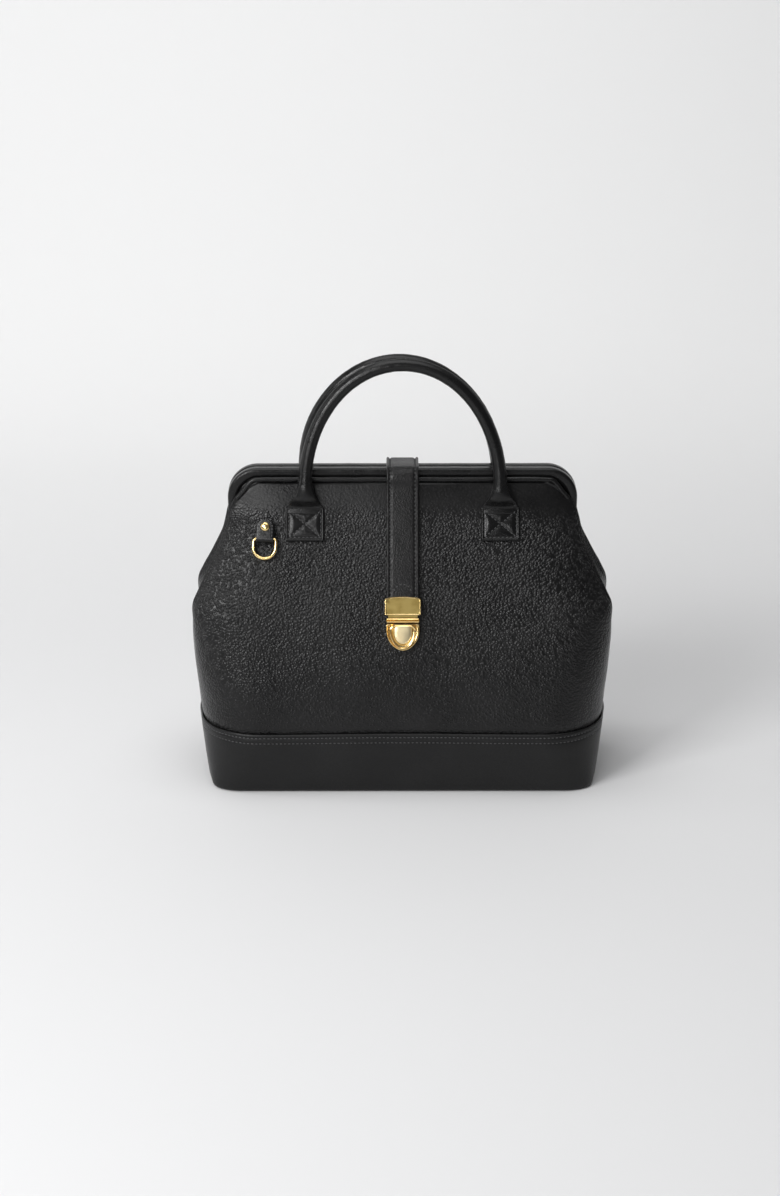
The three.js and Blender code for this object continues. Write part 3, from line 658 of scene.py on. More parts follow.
def sag(points, normals, parameter):
    """How far the leather stands out from the plain surface: sag, dimples, creases, the tuck at the band."""
    x, y, z = points[..., 0], points[..., 1], points[..., 2]
    ridge = np.abs(np.abs(parameter)[None, :] - 1)
    on_front_face = np.abs(parameter)[None, :] <= 1
    out = -1.5 * (1 - smooth(BAND_TOP - 3, BAND_TOP + 9, z))
    hardware = (bump(x, 0, 26) * smooth(118, 135, z) + bump(np.abs(x), PATCH_CENTRE, 24) * smooth(212, 226, z)
                + bump(x, -125, 14) * bump(z, 236, 20) + smooth(255, 268, z))
    free = 1 - np.clip(hardware, 0, 1)
    lumps = noise_at(points, 70, 3.1) * 1.1 + noise_at(points, 31, 8.7) * 0.35
    out = out + free * (lumps - 0.5) * smooth(BAND_TOP, BAND_TOP + 30, z)
    dimples = noise_at(points * np.array([1.0, 1.0, 0.6]), 9, 5.5) * 0.28
    out = out + dimples * free * (bump(x, 12, 42) * bump(z, 126, 34) + 0.25)
    # The ridge is pinched into a thin raised fold from the piping down to where the side stops folding in.
    from_ridge = ridge * np.where(on_front_face, 250, at(RIDGE_DEPTH, z))
    out = out + 2.3 * np.exp(-from_ridge / 1.7) * smooth(156, 192, z)
    # The front's leather ends in a small ear where it turns under the frame's corner.
    out = out + 1.8 * np.exp(-from_ridge / 5) * bump(z, 266, 5)
    # Where the fold opens out, the leather buckles: a dent above and a soft bulge below.
    fold = bump(ridge, 0.10, 0.10) * np.where(on_front_face, 1, 0.35)
    out = out - 1.8 * fold * bump(z, 186, 11) + 1.1 * fold * bump(z, 166, 9)
    creases = np.sin((z + 0.35 * np.abs(x)) / 3.1) * bump(ridge, 0.2, 0.22) * bump(z, 182, 26)
    return out + np.where(on_front_face, 0.12, 0.3) * creases * free


def shell_faces(rows, columns, on_side, heights):
    """Faces of the half shell; above the gusset's top the sides are left out."""
    faces = []
    gusset_rows = heights <= GUSSET_TOP
    for i in range(rows - 1):
        for j in range(columns - 1):
            if (on_side[j] or on_side[j + 1]) and not gusset_rows[i + 1]:
                continue
            a = i * columns + j
            faces.append((a, a + 1, a + columns + 1, a + columns))
    return faces


def drop_loose(obj):
    """Removes points that no face uses."""
    used = np.zeros(len(obj.data.vertices), bool)
    for face in obj.data.polygons:
        used[list(face.vertices)] = True
    if used.all():
        return
    index = np.cumsum(used) - 1
    points = np.array([v.co for v in obj.data.vertices])[used]
    faces = [tuple(int(index[v]) for v in face.vertices) for face in obj.data.polygons]
    materials = list(obj.data.materials)
    mesh = bpy.data.meshes.new(obj.name)
    mesh.from_pydata(points.tolist(), [], faces)
    for item in materials:
        mesh.materials.append(item)
    mesh.polygons.foreach_set("use_smooth", [True] * len(mesh.polygons))
    obj.data = mesh


def apply_modifier(obj, kind, **settings):
    modifier = obj.modifiers.new(kind, kind)
    for key, value in settings.items():
        setattr(modifier, key, value)
    graph = bpy.context.evaluated_depsgraph_get()
    mesh = bpy.data.meshes.new_from_object(obj.evaluated_get(graph))
    obj.modifiers.remove(modifier)
    obj.data = mesh


def add_half_shell(prefix, twin, nodes):
    """Half the leather body: the wide panel and half of each folded side, as one lofted sheet."""
    heights = np.arange(SHELL_FOOT, PANEL_TOP + 0.1, ROW_STEP)
    heights[-1] = PANEL_TOP
    points, on_side, parameter = half_surface(heights)
    normals = grid_normals(points)
    points = points + sag(points, normals, parameter)[..., None] * normals
    points[:, (0, -1), 1] = 0
    faces = shell_faces(*points.shape[:2], on_side, heights)
    obj = make_mesh(prefix + "_leather", turned(points) if twin else points, faces, [PANEL, LINING])
    drop_loose(obj)
    apply_modifier(obj, "SOLIDIFY", thickness=LEATHER * MM, offset=-1, use_even_offset=False)
    return fit(obj, "body", *nodes, blend=panel_blend(prefix, twin))


def panel_blend(prefix, twin):
    """The panel and the span from the hinge to the piped edge; fit reads only that a span is given."""
    end = (0, 29.1 if twin else -29.1, HINGE_HEIGHT + 11.5)
    return prefix + "_panel", (0, 0, HINGE_HEIGHT), end


def add_half_lining(prefix, twin, nodes):
    """The cloth lining of half the bag, glued at the top and hanging in soft folds below."""
    heights = np.concatenate([np.arange(SHELL_FOOT, PANEL_TOP - 6, 4), [PANEL_TOP - 6]])
    points, on_side, parameter = half_surface(heights)
    normals = grid_normals(points)
    folds = np.abs(noise_at(points * np.array([2.2, 2.2, 0.5]), 26, 1.7))
    hang = 3.4 + 0.7 * folds * (1 - smooth(235, 262, points[..., 2]))
    points = points - hang[..., None] * normals
    points[:, (0, -1), 1] = 0
    faces = shell_faces(*points.shape[:2], on_side, heights)
    obj = make_mesh(prefix + "_lining", turned(points) if twin else points, faces, LINING)
    drop_loose(obj)
    apply_modifier(obj, "SOLIDIFY", thickness=LINING_THICKNESS * MM, offset=-1)
    return fit(obj, "body", *nodes, blend=panel_blend(prefix, twin))


# ---------------------------------------------------------------- base


def ring_points(z):
    """The whole outline at height z, with outward plan normals."""
    points, _, _ = half_surface(np.array([float(z)]))
    half = points[0, :-1]
    ring = np.concatenate([half, turned(half)])
    along = np.roll(ring, -1, 0) - np.roll(ring, 1, 0)
    normals = unit(np.stack([along[:, 1], -along[:, 0], np.zeros(len(ring))], 1))
    return ring, normals


def band_profile():
    """(height, offset) round the band's section: up inside, over the folded edge, down, under the base."""
    top = BAND_TOP
    return [(14, -1.1), (top - 6, -1.1), (top - 1.6, -0.9), (top - 0.5, -0.5), (top, 0.2), (top - 0.1, 0.8),
            (top - 0.7, 1.35), (top - 1.6, 1.62), (top - 2.5, 1.5), (top - 3.1, 1.12), (top - 3.6, 1.05),
            (top - 4.1, 1.2), (top - 5.0, 1.6), (top - 6.6, 1.68), (top - 7.8, 1.45), (top - 8.4, 1.15),
            (top - 8.9, 1.12), (top - 9.5, 1.35), (top - 11, 1.6), (top - 18, 1.62), (20, 1.6), (9, 1.58),
            (5, 1.5), (3, 1.2), (1.6, 0.6), (0.7, -0.4), (0.15, -1.9), (0, -4), (0, -11), (1.4, -11.5),
            (2.2, -4), (4, -1.6)]


def add_base():
    loops = []
    for z, offset in band_profile():
        ring, normals = ring_points(z)
        waves = noise_at(ring, 45, 2.2) * 0.25 if offset > BAND_WAVY_FROM else np.zeros(len(ring))
        loops.append(ring + normals * (offset + waves)[:, None])
    loops = np.array(loops[::-1])
    rows, columns = loops.shape[:2]
    band = make_mesh("base_band", loops, grid_faces(rows, columns, True, True), BAND)
    fit(band, "body", "base_band_front", "base_band_back", "base_band_right", "base_band_left")
    for name, drop in (("base_band_stitches_upper", 3.4), ("base_band_stitches_lower", 8.7)):
        ring, normals = ring_points(BAND_TOP - drop)
        path = np.concatenate([ring, ring[:1]]) + np.concatenate([normals, normals[:1]]) * 1.35
        centres, tangents = along_path(path, STITCH_PITCH)
        out = unit(np.stack([tangents[:, 1], -tangents[:, 0], np.zeros(len(centres))], 1))
        fit(stitches(name, centres, tangents, out, THREAD), "body")
    foot = ((2.0, 8), (0.6, 8), (0.3, 8.5), (0.3, 9.5))
    fit(inset_plate("base_panel", foot, BAND), "body", "bottom_panel")
    floor = ((6.2, 7.5), (6.6, 6.5), (7.4, 6.6), (7.9, 8), (8.1, 12), (7.9, 30))
    fit(inset_plate("lining_pad", floor, LINING), "body", "lining_floor")


def inset_plate(name, steps, material):
    """A flat plate with an eased edge: loops of (height, inset) from the outline of the base."""
    ring, normals = ring_points(steps[0][0])
    loops = [ring - normals * inset + np.array([0, 0, z - ring[0, 2]]) for z, inset in steps]
    return loft(name, loops, material)


# ---------------------------------------------------------------- piping and frame


def tube(name, path, radius, material, sides=14):
    """A round cord along a path."""
    tangents = unit(np.gradient(path, axis=0))
    side = unit(np.cross(tangents, np.array([0.0, 1.0, 0.02])))
    out = unit(np.cross(side, tangents))
    return sweep(name, path, side, out, circle(radius, sides), material)


def piping_path():
    """Along the panel's upper edge, turning down its two upper corners into the ridge folds."""
    height, depth = PANEL_TOP + 3, PIPING_DEPTH
    ends = []
    for z in (PANEL_TOP - 15, PANEL_TOP - 9):
        ends.append((at(RIDGE_HALF_WIDTH, z) + PIPING_RADIUS + 0.3, -depth - 0.6, z))
    drops = ((138.5, 1.8), (130, 0.3), (118, 0), (60, 0))
    top = [(x, -depth, height - drop) for x, drop in drops]
    right = ends + top
    left = [(-x, y, z) for x, y, z in right[::-1]]
    return spline(right + [(0, -depth, height)] + left, 260)


def add_piping(prefix, twin):
    path = piping_path()
    wobble = 0.18 * noise_at(path, 14, 4.4)[:, None]
    path = path + wobble * np.array([0.0, 1.0, 1.0])
    obj = tube(prefix + "_piping_cord", turned(path) if twin else path, PIPING_RADIUS, SMOOTH)
    fit(obj, prefix + "_panel", prefix + "_piping")


def frame_path(count=40):
    """Centre line of a frame bar, up the right leg, over the top and down the left, with its outward side."""
    half_bar = BAR_HALF
    outer_x, outer_z = FRAME_HIGH[0], FRAME_HIGH[2]
    corner = FRAME_CORNER
    radius = corner - half_bar
    legs = np.linspace(FRAME_LOW[2], outer_z - corner, 12, endpoint=False)
    turn = np.linspace(0, math.pi / 2, count)
    top = np.linspace(outer_x - corner, 0, 60)[1:]
    right = [(outer_x - half_bar, z, 1.0, 0.0) for z in legs]
    for a in turn:
        c, s = math.cos(a), math.sin(a)
        right.append((outer_x - corner + radius * c, outer_z - corner + radius * s, c, s))
    right += [(x, outer_z - half_bar, 0.0, 1.0) for x in top]
    right = np.array(right)
    left = right[:-1][::-1] * np.array([-1, 1, -1, 1])
    path = np.concatenate([right, left])
    depth = (FRAME_LOW[1] + FRAME_HIGH[1]) / 2
    centres = np.stack([path[:, 0], np.full(len(path), depth), path[:, 1]], 1)
    outward = np.stack([path[:, 2], np.zeros(len(path)), path[:, 3]], 1)
    return centres, outward


def add_frame(prefix, twin):
    """A steel bar's leather sleeve: a rounded bar, lightly creased, that narrows at the ends of its legs."""
    centres, outward = frame_path()
    across = np.tile([0.0, -1.0, 0.0], (len(centres), 1))
    half_depth = (FRAME_HIGH[1] - FRAME_LOW[1]) / 2
    profile = rounded_bar(half_depth, BAR_HALF, 3.4, 36)
    ends = np.minimum(np.arange(len(centres)), np.arange(len(centres))[::-1])
    shrink = 1 - 0.35 * (1 - smooth(0, 3, ends))
    crease = 0.12 * noise_at(centres, 11, 6.1)
    sections = profile[None] * (shrink + crease / 5)[:, None, None]
    obj = sweep(prefix + "_frame_sleeve", centres, across, outward, sections, SMOOTH)
    if twin:
        turn_round(obj)
    fit(obj, prefix + "_frame", prefix + "_frame_cover")


def add_hinge(name, side):
    """The pivot rivet's domed head and washer on one side."""
    low, high = box_mm(name)
    middle = (low + high) / 2
    inner, outer = (low[0], high[0]) if side > 0 else (-high[0], -low[0])
    length = outer - inner
    washer = [(0.05, 0), (3.8, 0), (4.2, 0.3), (4.2, 1.3), (4.0, 1.6), (2, 1.6)]
    dome = [(2, 2.4), (3.9, 2.4), (4.2, 2.1), (4.2, 1.8), (3.5, 0.9), (2.2, 0.25), (0.05, 0)]
    profile = washer + [(radius, length - below) for radius, below in dome]
    matrix = np.eye(4)
    matrix[:3, :3] = np.array([[0, 0, side], [0, 1, 0], [-side, 0, 0]], float)
    matrix[:3, 3] = (side * inner, 0, middle[2])
    fit(lathe(name.replace("rivet", "pin"), profile, matrix, STEEL), "body", name)


def facing_edges(count=220):
    """The panel's upper edge, from the right side's fold over the top to the left, and the frame above it."""
    rise = np.linspace(GUSSET_TOP - 6, PANEL_TOP, count // 4, endpoint=False)
    ridge = np.stack([at(RIDGE_HALF_WIDTH, rise), -at(RIDGE_DEPTH, rise), rise], 1)
    corner = front_curve(np.linspace(1, FLAT_SHARE, 16, endpoint=False), PANEL_TOP)
    top = front_curve(np.linspace(FLAT_SHARE, 0, count // 4), PANEL_TOP)
    right = np.concatenate([ridge, corner, top])
    edge = np.concatenate([right, right[:-1][::-1] * np.array([-1.0, 1.0, 1.0])])
    centres, outward = frame_path()
    near = np.argmin(np.linalg.norm((centres[None, :] - edge[:, None])[..., (0, 2)], axis=2), axis=1)
    under = centres[near] - outward[near] * 1.5
    under[:, 2] = np.minimum(under[:, 2], np.maximum(edge[:, 2] + 6, GUSSET_TOP))
    return edge, under


def add_facing(prefix, twin):
    """The strip of leather that turns in from the panel's edge and is clamped in the frame."""
    edge, under = facing_edges()
    share = np.linspace(0, 1, 9)[:, None, None]
    points = edge[None] * (1 - share) + under[None] * share
    hollow = 1.2 * np.sin(share * math.pi)
    points = points + hollow * np.array([0.0, 0.6, -0.8]) + 0.25 * noise_at(points, 8, 3.7)[..., None]
    points[0] = edge + np.array([0.0, 1.2, 0.0])
    points = turned(points) if twin else points
    obj = make_mesh(prefix + "_facing", points, grid_faces(*points.shape[:2]), SMOOTH)
    apply_modifier(obj, "SOLIDIFY", thickness=FACING_THICKNESS * MM, offset=0)
    fit(obj, "body", blend=panel_blend(prefix, twin))


# ---------------------------------------------------------------- handles


def handle_path(lean, count=180):
    """Centre line of a handle, from the right patch over the leaning arch to the left patch."""
    cad_high = box_mm("front_handle_cover")[1]
    spread = PATCH_CENTRE - HANDLE_SPLAY
    arch_low, arch_high = ARCH_LOW, cad_high[2] - HANDLE_RADIUS
    depth_low, depth_high = -HANDLE_FOLD[1], ARCH_DEPTH
    low = PATCH_HIGH[2] - 6
    legs = np.linspace(low, arch_low, 26, endpoint=False)
    turn = np.linspace(0, math.pi, count)
    x = np.concatenate([np.full(len(legs), spread), spread * np.cos(turn), np.full(len(legs), -spread)])
    z = np.concatenate([legs, arch_low + (arch_high - arch_low) * np.sin(turn), legs[::-1]])
    fold = HANDLE_FOLD[2]
    drop = np.clip(1 - (z - fold) / (arch_high - fold), 0, 1)
    depth = depth_high + (depth_low - depth_high) * drop ** 1.5
    x = x + np.sign(x) * HANDLE_SPLAY * drop ** 2 + lean * (1 - drop ** 2)
    panel = -on_front(np.abs(x), np.minimum(z, PANEL_TOP))[:, 1] + 1.6
    near = 1 - smooth(PATCH_HIGH[2] - 2, fold + 9, z)
    depth = depth * (1 - near) + panel * near
    return np.stack([x, -depth, z], 1)


def path_sides(path):
    """Unit vectors across a handle's path, in the arch's plane, and out of that plane."""
    tangents = unit(np.gradient(path, axis=0))
    across = unit(np.cross(tangents, np.array([0.0, 1.0, 0.0])))
    return across, unit(np.cross(across, tangents))


def add_handle(prefix, twin):
    """A rolled handle: a leather tube that flares at each end into a flat tongue sewn under its patch."""
    path = handle_path(BACK_HANDLE_LEAN if twin else 0)
    across, out = path_sides(path)
    turn = np.linspace(0, 2 * math.pi, 28, endpoint=False)
    z = path[:, 2]
    flare = 1 - np.clip((z - PATCH_HIGH[2] + 0.5) / 32, 0, 1)
    tongue = (PATCH_HIGH[0] - PATCH_LOW[0]) / 2 - 0.4
    wide = HANDLE_RADIUS + (tongue - HANDLE_RADIUS) * flare ** 2.1
    thick = HANDLE_RADIUS + (1.7 - HANDLE_RADIUS) * smooth(0.45, 1.0, flare)
    ripple = 1 + 0.022 * noise_at(path, 5, 9.3) + 0.014 * noise_at(path, 2.2, 1.3)
    seam = 1 + 0.10 * bump(np.abs(turn - math.pi), 0, 0.16)[None, :] * (1 - flare)[:, None]
    sections = np.stack([wide[:, None] * np.cos(turn) * ripple[:, None] * seam,
                         thick[:, None] * np.sin(turn) * ripple[:, None] * seam], -1)
    obj = sweep(prefix + "_handle_roll", path, across, out, sections, SMOOTH)
    if twin:
        turn_round(obj)
    y = HANDLE_FOLD[1]
    sign = -1 if twin else 1
    start, end = (0, sign * (y - 2.5), PATCH_HIGH[2] - 1.5), (0, sign * y, PATCH_HIGH[2] + 9)
    fit(obj, prefix + "_panel", prefix + "_handle_cover", blend=(prefix + "_handle", start, end))
    add_handle_core(prefix, twin, path, across, out)


def add_handle_core(prefix, twin, path, across, out):
    """The handle's filling: a rope of three twisted strands that stops where the leather flares."""
    inside = path[:, 2] > HANDLE_FOLD[2] + CORE_START
    centres, across, out = path[inside], across[inside], out[inside]
    lengths = np.concatenate([[0], np.cumsum(np.linalg.norm(np.diff(centres, axis=0), axis=1))])
    turn = np.linspace(0, 2 * math.pi, 30, endpoint=False)
    twist = turn[None, :] + lengths[:, None] / CORE_TWIST * 2 * math.pi
    radius = 3.2 + 0.6 * np.abs(np.cos(1.5 * twist))
    sections = np.stack([radius * np.cos(turn), radius * np.sin(turn)], -1)
    obj = sweep(prefix + "_handle_core", centres, across, out, sections, ROPE)
    if twin:
        turn_round(obj)
    fit(obj, prefix + "_handle", prefix + "_handle_rope")


def patch_height(u, v, half_u, half_v):
    """Thickness of a sewn patch: a rolled hem, a stitched groove, and four pillows parted by a sewn cross."""
    edge = np.minimum(half_u - np.abs(u), half_v - np.abs(v))
    hem = 2.3 * smooth(-0.6, 1.2, edge)
    groove = 1.1 * bump(edge, 3.1, 0.9)
    inside = smooth(3.3, 5.2, edge)
    diagonal = np.abs(np.abs(u) / half_u - np.abs(v) / half_v)
    pillow = 0.95 * (1 - np.exp(-(diagonal / 0.2) ** 1.3)) * smooth(3.2, 7.5, edge)
    return hem - groove + inside * (pillow - 0.7)


def add_patch(prefix, side, twin):
    name = f"{prefix}_{side}_handle_patch"
    sign = (1 if side == "right" else -1) * (-1 if twin else 1)
    half_u, half_v = (PATCH_HIGH[0] - PATCH_LOW[0]) / 2, (PATCH_HIGH[2] - PATCH_LOW[2]) / 2
    middle = (PATCH_HIGH[2] + PATCH_LOW[2]) / 2 - 0.6
    count = 72
    u = np.linspace(-half_u, half_u, count)
    v = np.linspace(-half_v, half_v, count)
    round_off = 0.9
    uu, vv = np.meshgrid(u, v)
    limit_u = half_u - round_off * smooth(half_v - 3, half_v, np.abs(vv))
    uu = np.clip(uu, -limit_u, limit_u)
    base = on_front(sign * PATCH_CENTRE + uu, middle + vv)
    normals = grid_normals(base)
    height = patch_height(uu, vv, half_u, half_v) + 0.12 * noise_at(base, 4, 7.7)
    outer = base + normals * (0.5 + height)[..., None]
    inner = base + normals * 0.35
    if twin:
        outer, inner = turned(outer), turned(inner)
    obj = sheet(f"{prefix}_{side}_quilted_patch", outer, inner, SMOOTH)
    fit(obj, prefix + "_panel", name)
    add_patch_stitches(prefix, side, twin, sign, middle, half_u, half_v)


def add_patch_stitches(prefix, side, twin, sign, middle, half_u, half_v):
    hem = 3.1
    a, b = half_u - hem, half_v - hem
    square = np.array([(-a, -b), (a, -b), (a, b), (-a, b), (-a, -b)])
    lines = [square, np.array([(-a, -b), (a, b)]), np.array([(-a, b), (a, -b)])]
    rows = []
    for line in lines:
        runs = [np.linspace(p, q, 40, endpoint=False) for p, q in zip(line[:-1], line[1:])]
        dense = np.concatenate(runs + [line[-1:]])
        base = on_front(sign * PATCH_CENTRE + dense[:, 0], middle + dense[:, 1])
        step = on_front(sign * PATCH_CENTRE + dense[:, 0] + 0.1, middle + dense[:, 1]) - base
        up = on_front(sign * PATCH_CENTRE + dense[:, 0], middle + dense[:, 1] + 0.1) - base
        normals = unit(np.cross(step, up))
        lift = patch_height(dense[:, 0], dense[:, 1], half_u, half_v) + 0.75
        centres, tangents = along_path(base + normals * lift[:, None], STITCH_PITCH)
        rows.append((centres, tangents, np.tile(normals.mean(0), (len(centres), 1))))
    centres, tangents, normals = (np.concatenate(part) for part in zip(*rows))
    if twin:
        centres, tangents, normals = turned(centres), turned(tangents), turned(normals)
    name = f"{prefix}_{side}_patch_stitches"
    fit(stitches(name, centres, tangents, unit(normals), THREAD), prefix + "_panel")


# ---------------------------------------------------------------- strap


def strap_path(count=260):
    """Middle of the strap's underside, from the hasp up the front, over the frame and down the back."""
    lift = STRAP_LIFT
    crest = STRAP_FOLD[2] - STRAP_CREST_DROP
    low = box_mm("strap")[0][2] - 0.5
    front = [(on_front(0, z)[1] - lift, z + 0.5) for z in (low, 188, 212, 240, 266)]
    over = [(-18.4, crest - 15), (-17.4, crest - 7), (-13, crest - 1.2), (-6, crest), (5, crest), (13, crest)]
    fold = [(16.2, crest - 0.2), (17.8, crest - 2.6), (18.6, crest - 8), (21, crest - 17)]
    anchor_low = box_mm("strap_anchor")[0][2]
    back = [(-on_front(0, z)[1] + 0.7, z) for z in (262, 240, 218, anchor_low)]
    keys = [(0, y, z) for y, z in front + over + fold + back]
    return spline(keys, count)


def strap_profile():
    """(across, out) round the strap's section: flat middle, stitched grooves and thick rolled edges."""
    half, thick = STRAP_HALF, STRAP_THICKNESS
    right = [(0, thick), (half - 6.2, thick), (half - 4.6, thick - 0.1), (half - 3.8, thick - 0.8),
             (half - 3.3, thick - 0.95), (half - 2.8, thick - 0.8), (half - 2.1, thick + 0.2),
             (half - 1.2, thick + 0.45), (half - 0.35, thick - 0.05), (half, thick - 0.9), (half, 0.9),
             (half - 0.5, 0.15), (half - 1.4, 0)]
    left = [(-a, b) for a, b in right[:0:-1]]
    return np.array(right + left)


def add_strap():
    path = strap_path()
    tangents = unit(np.gradient(path, axis=0))
    across = np.tile([1.0, 0.0, 0.0], (len(path), 1))
    out = unit(np.cross(across, tangents))
    profile = strap_profile()
    ends = np.minimum(np.arange(len(path)), np.arange(len(path))[::-1])
    taper = np.where(np.arange(len(path)) > len(path) / 2, 1 - 0.25 * (1 - smooth(0, 12, ends)), 1)
    sections = np.broadcast_to(profile, (len(path),) + profile.shape).copy()
    sections[..., 0] *= taper[:, None]
    sections[..., 1] += 0.15 * noise_at(path, 18, 2.9)[:, None] * (profile[None, :, 1] > 1)
    obj = sweep("closing_strap", path, across, out, sections[:, ::-1], STRAP)
    fold = STRAP_FOLD
    fit(obj, "back_panel", "strap", "strap_anchor",
        blend=("strap", (0, fold[1] + 3, fold[2]), (0, fold[1] - 3, fold[2] + 1.5)))
    add_strap_stitches(path, out, tangents)


def add_strap_stitches(path, out, tangents):
    at_fold = int(np.argmax(path[:, 1] > STRAP_FOLD[1] - 2.5))
    parts = (("strap_stitches", slice(6, at_fold), "strap"),
             ("anchor_stitches", slice(at_fold + 14, -10), "back_panel"))
    for name, span, body in parts:
        rows = []
        for side in (-1, 1):
            line = path[span] + out[span] * 2.0 + np.array([side * (STRAP_HALF - 3.3), 0, 0])
            centres, along = along_path(line, STITCH_PITCH)
            rows.append((centres, along, unit(np.cross(np.tile([1.0, 0, 0], (len(centres), 1)), along))))
        centres, along, normals = (np.concatenate(part) for part in zip(*rows))
        fit(stitches(name, centres, along, normals, THREAD), body)
    arch = np.array([(-7.6 * math.cos(a), 7.0 * math.sin(a)) for a in np.linspace(0, math.pi, 40)])
    matrix = surface_frame(0, HASP_TOP + 1.5)
    line = place(lifted(arch, ARCH_STITCH_OUT), matrix)
    centres, along = along_path(line, STITCH_PITCH)
    normals = np.tile(matrix[:3, 2], (len(centres), 1))
    fit(stitches("strap_arch_stitches", centres, along, normals, THREAD), "strap")


# ---------------------------------------------------------------- lock


def shield_loop(half_width, half_height, corner, waist_share=0.5, count=24):
    """Outline of a shield: straight top with round corners, short straight sides and a round point below."""
    waist = half_height * waist_share

    def bezier(p, n):
        p = np.array(p, float)
        t = np.linspace(0, 1, n, endpoint=False)[:, None]
        if len(p) == 4:
            return ((1 - t) ** 3 * p[0] + 3 * t * (1 - t) ** 2 * p[1] + 3 * t * t * (1 - t) * p[2]
                    + t ** 3 * p[3])
        return (1 - t) ** 2 * p[0] + 2 * t * (1 - t) * p[1] + t * t * p[2]

    w, h, c = half_width, half_height, corner
    hip = waist - 0.85 * h
    parts = [bezier([(-w, waist), (-w, hip), (-w * 0.45, -h), (0, -h)], count),
             bezier([(0, -h), (w * 0.45, -h), (w, hip), (w, waist)], count),
             np.linspace((w, waist), (w, h - c), 6, endpoint=False),
             bezier([(w, h - c), (w, h), (w - c, h)], 10),
             np.linspace((w - c, h), (-w + c, h), 10, endpoint=False),
             bezier([(-w + c, h), (-w, h), (-w, h - c)], 10),
             np.linspace((-w, h - c), (-w, waist), 6, endpoint=False)]
    return np.concatenate(parts)


def bevelled(name, outline, steps, matrix, material, crease=32):
    """A solid from an outline function of inset, through (inset, height) steps."""
    loops = [place(lifted(outline(inset), height), matrix) for inset, height in steps]
    return loft(name, loops, material, crease=crease)


def ring_of(name, outer, inner, matrix, material, crease=32):
    """A closed ring skinned over (outline, height) sections, from its outer wall round to its inner wall."""
    loops = np.array([place(lifted(loop, height), matrix) for loop, height in outer + inner])
    rows, columns = loops.shape[:2]
    obj = make_mesh(name, loops, grid_faces(rows, columns, True, True), material)
    shade_by_angle(obj, crease)
    return obj


def add_lock():
    matrix = surface_frame(0, LOCK_HEIGHT)
    half_width, half_height = LOCK_HALF
    button_w, button_h = BUTTON_HALF
    front = LOCK_FRONT

    def flange(inset):
        return shield_loop(half_width - inset, half_height - inset, (half_width - inset) * 0.16)

    def button(inset):
        half = button_w - inset
        loop = shield_loop(half, button_h - inset, half * BUTTON_CORNER, 0.3)
        return loop + np.array([0, BUTTON_RISE])

    def bezel(inset):
        return shield_loop(half_width - 3.0 - inset, half_height - 1.1 - inset, (half_width - 3) * 0.4)

    hole = -0.4
    step = front - 3.6
    outer = [(flange(0.2), 1.7), (flange(0), 2.0), (flange(0), step + 0.2), (flange(0.3), step + 0.7),
             (flange(0.8), step + 0.85), (flange(1.3), step + 0.6), (flange(1.7), step - 0.2),
             (bezel(-0.3), step - 0.3), (bezel(0), step + 0.2), (bezel(0.1), front - 0.9),
             (bezel(0.45), front - 0.2), (bezel(1.0), front + 0.1), (bezel(1.6), front - 0.2),
             (bezel(2.0), front - 0.9)]
    inner = [(button(hole - 1.1), front - 1.0), (button(hole - 0.5), front - 1.6),
             (button(hole), front - 1.8), (button(hole), 1.7)]
    fit(ring_of("lock_bezel", outer, inner, matrix, BRASS), "front_panel", "lock_case")
    steps = [(0.2, 4.9), (0, 5.2), (0, front - 0.7), (0.18, front - 0.2), (0.55, front + 0.15),
             (1.1, front + 0.3), (3.5, front + 0.38)]
    fit(bevelled("lock_push_button", button, steps, matrix, PALE_BRASS), "lock_button", "lock_button")
    steps = [(0.8, 0.4), (0.5, 0.6), (0.5, 1.2), (0.8, 1.4)]
    fit(bevelled("lock_plate", flange, steps, matrix, STEEL), "front_panel", "lock_base_plate")


def above_lock(rise):
    """Surface frame at a distance up the front from the lock."""
    step = np.linalg.norm(on_front(0, LOCK_HEIGHT + rise) - on_front(0, LOCK_HEIGHT))
    return surface_frame(0, LOCK_HEIGHT + rise * rise / step)


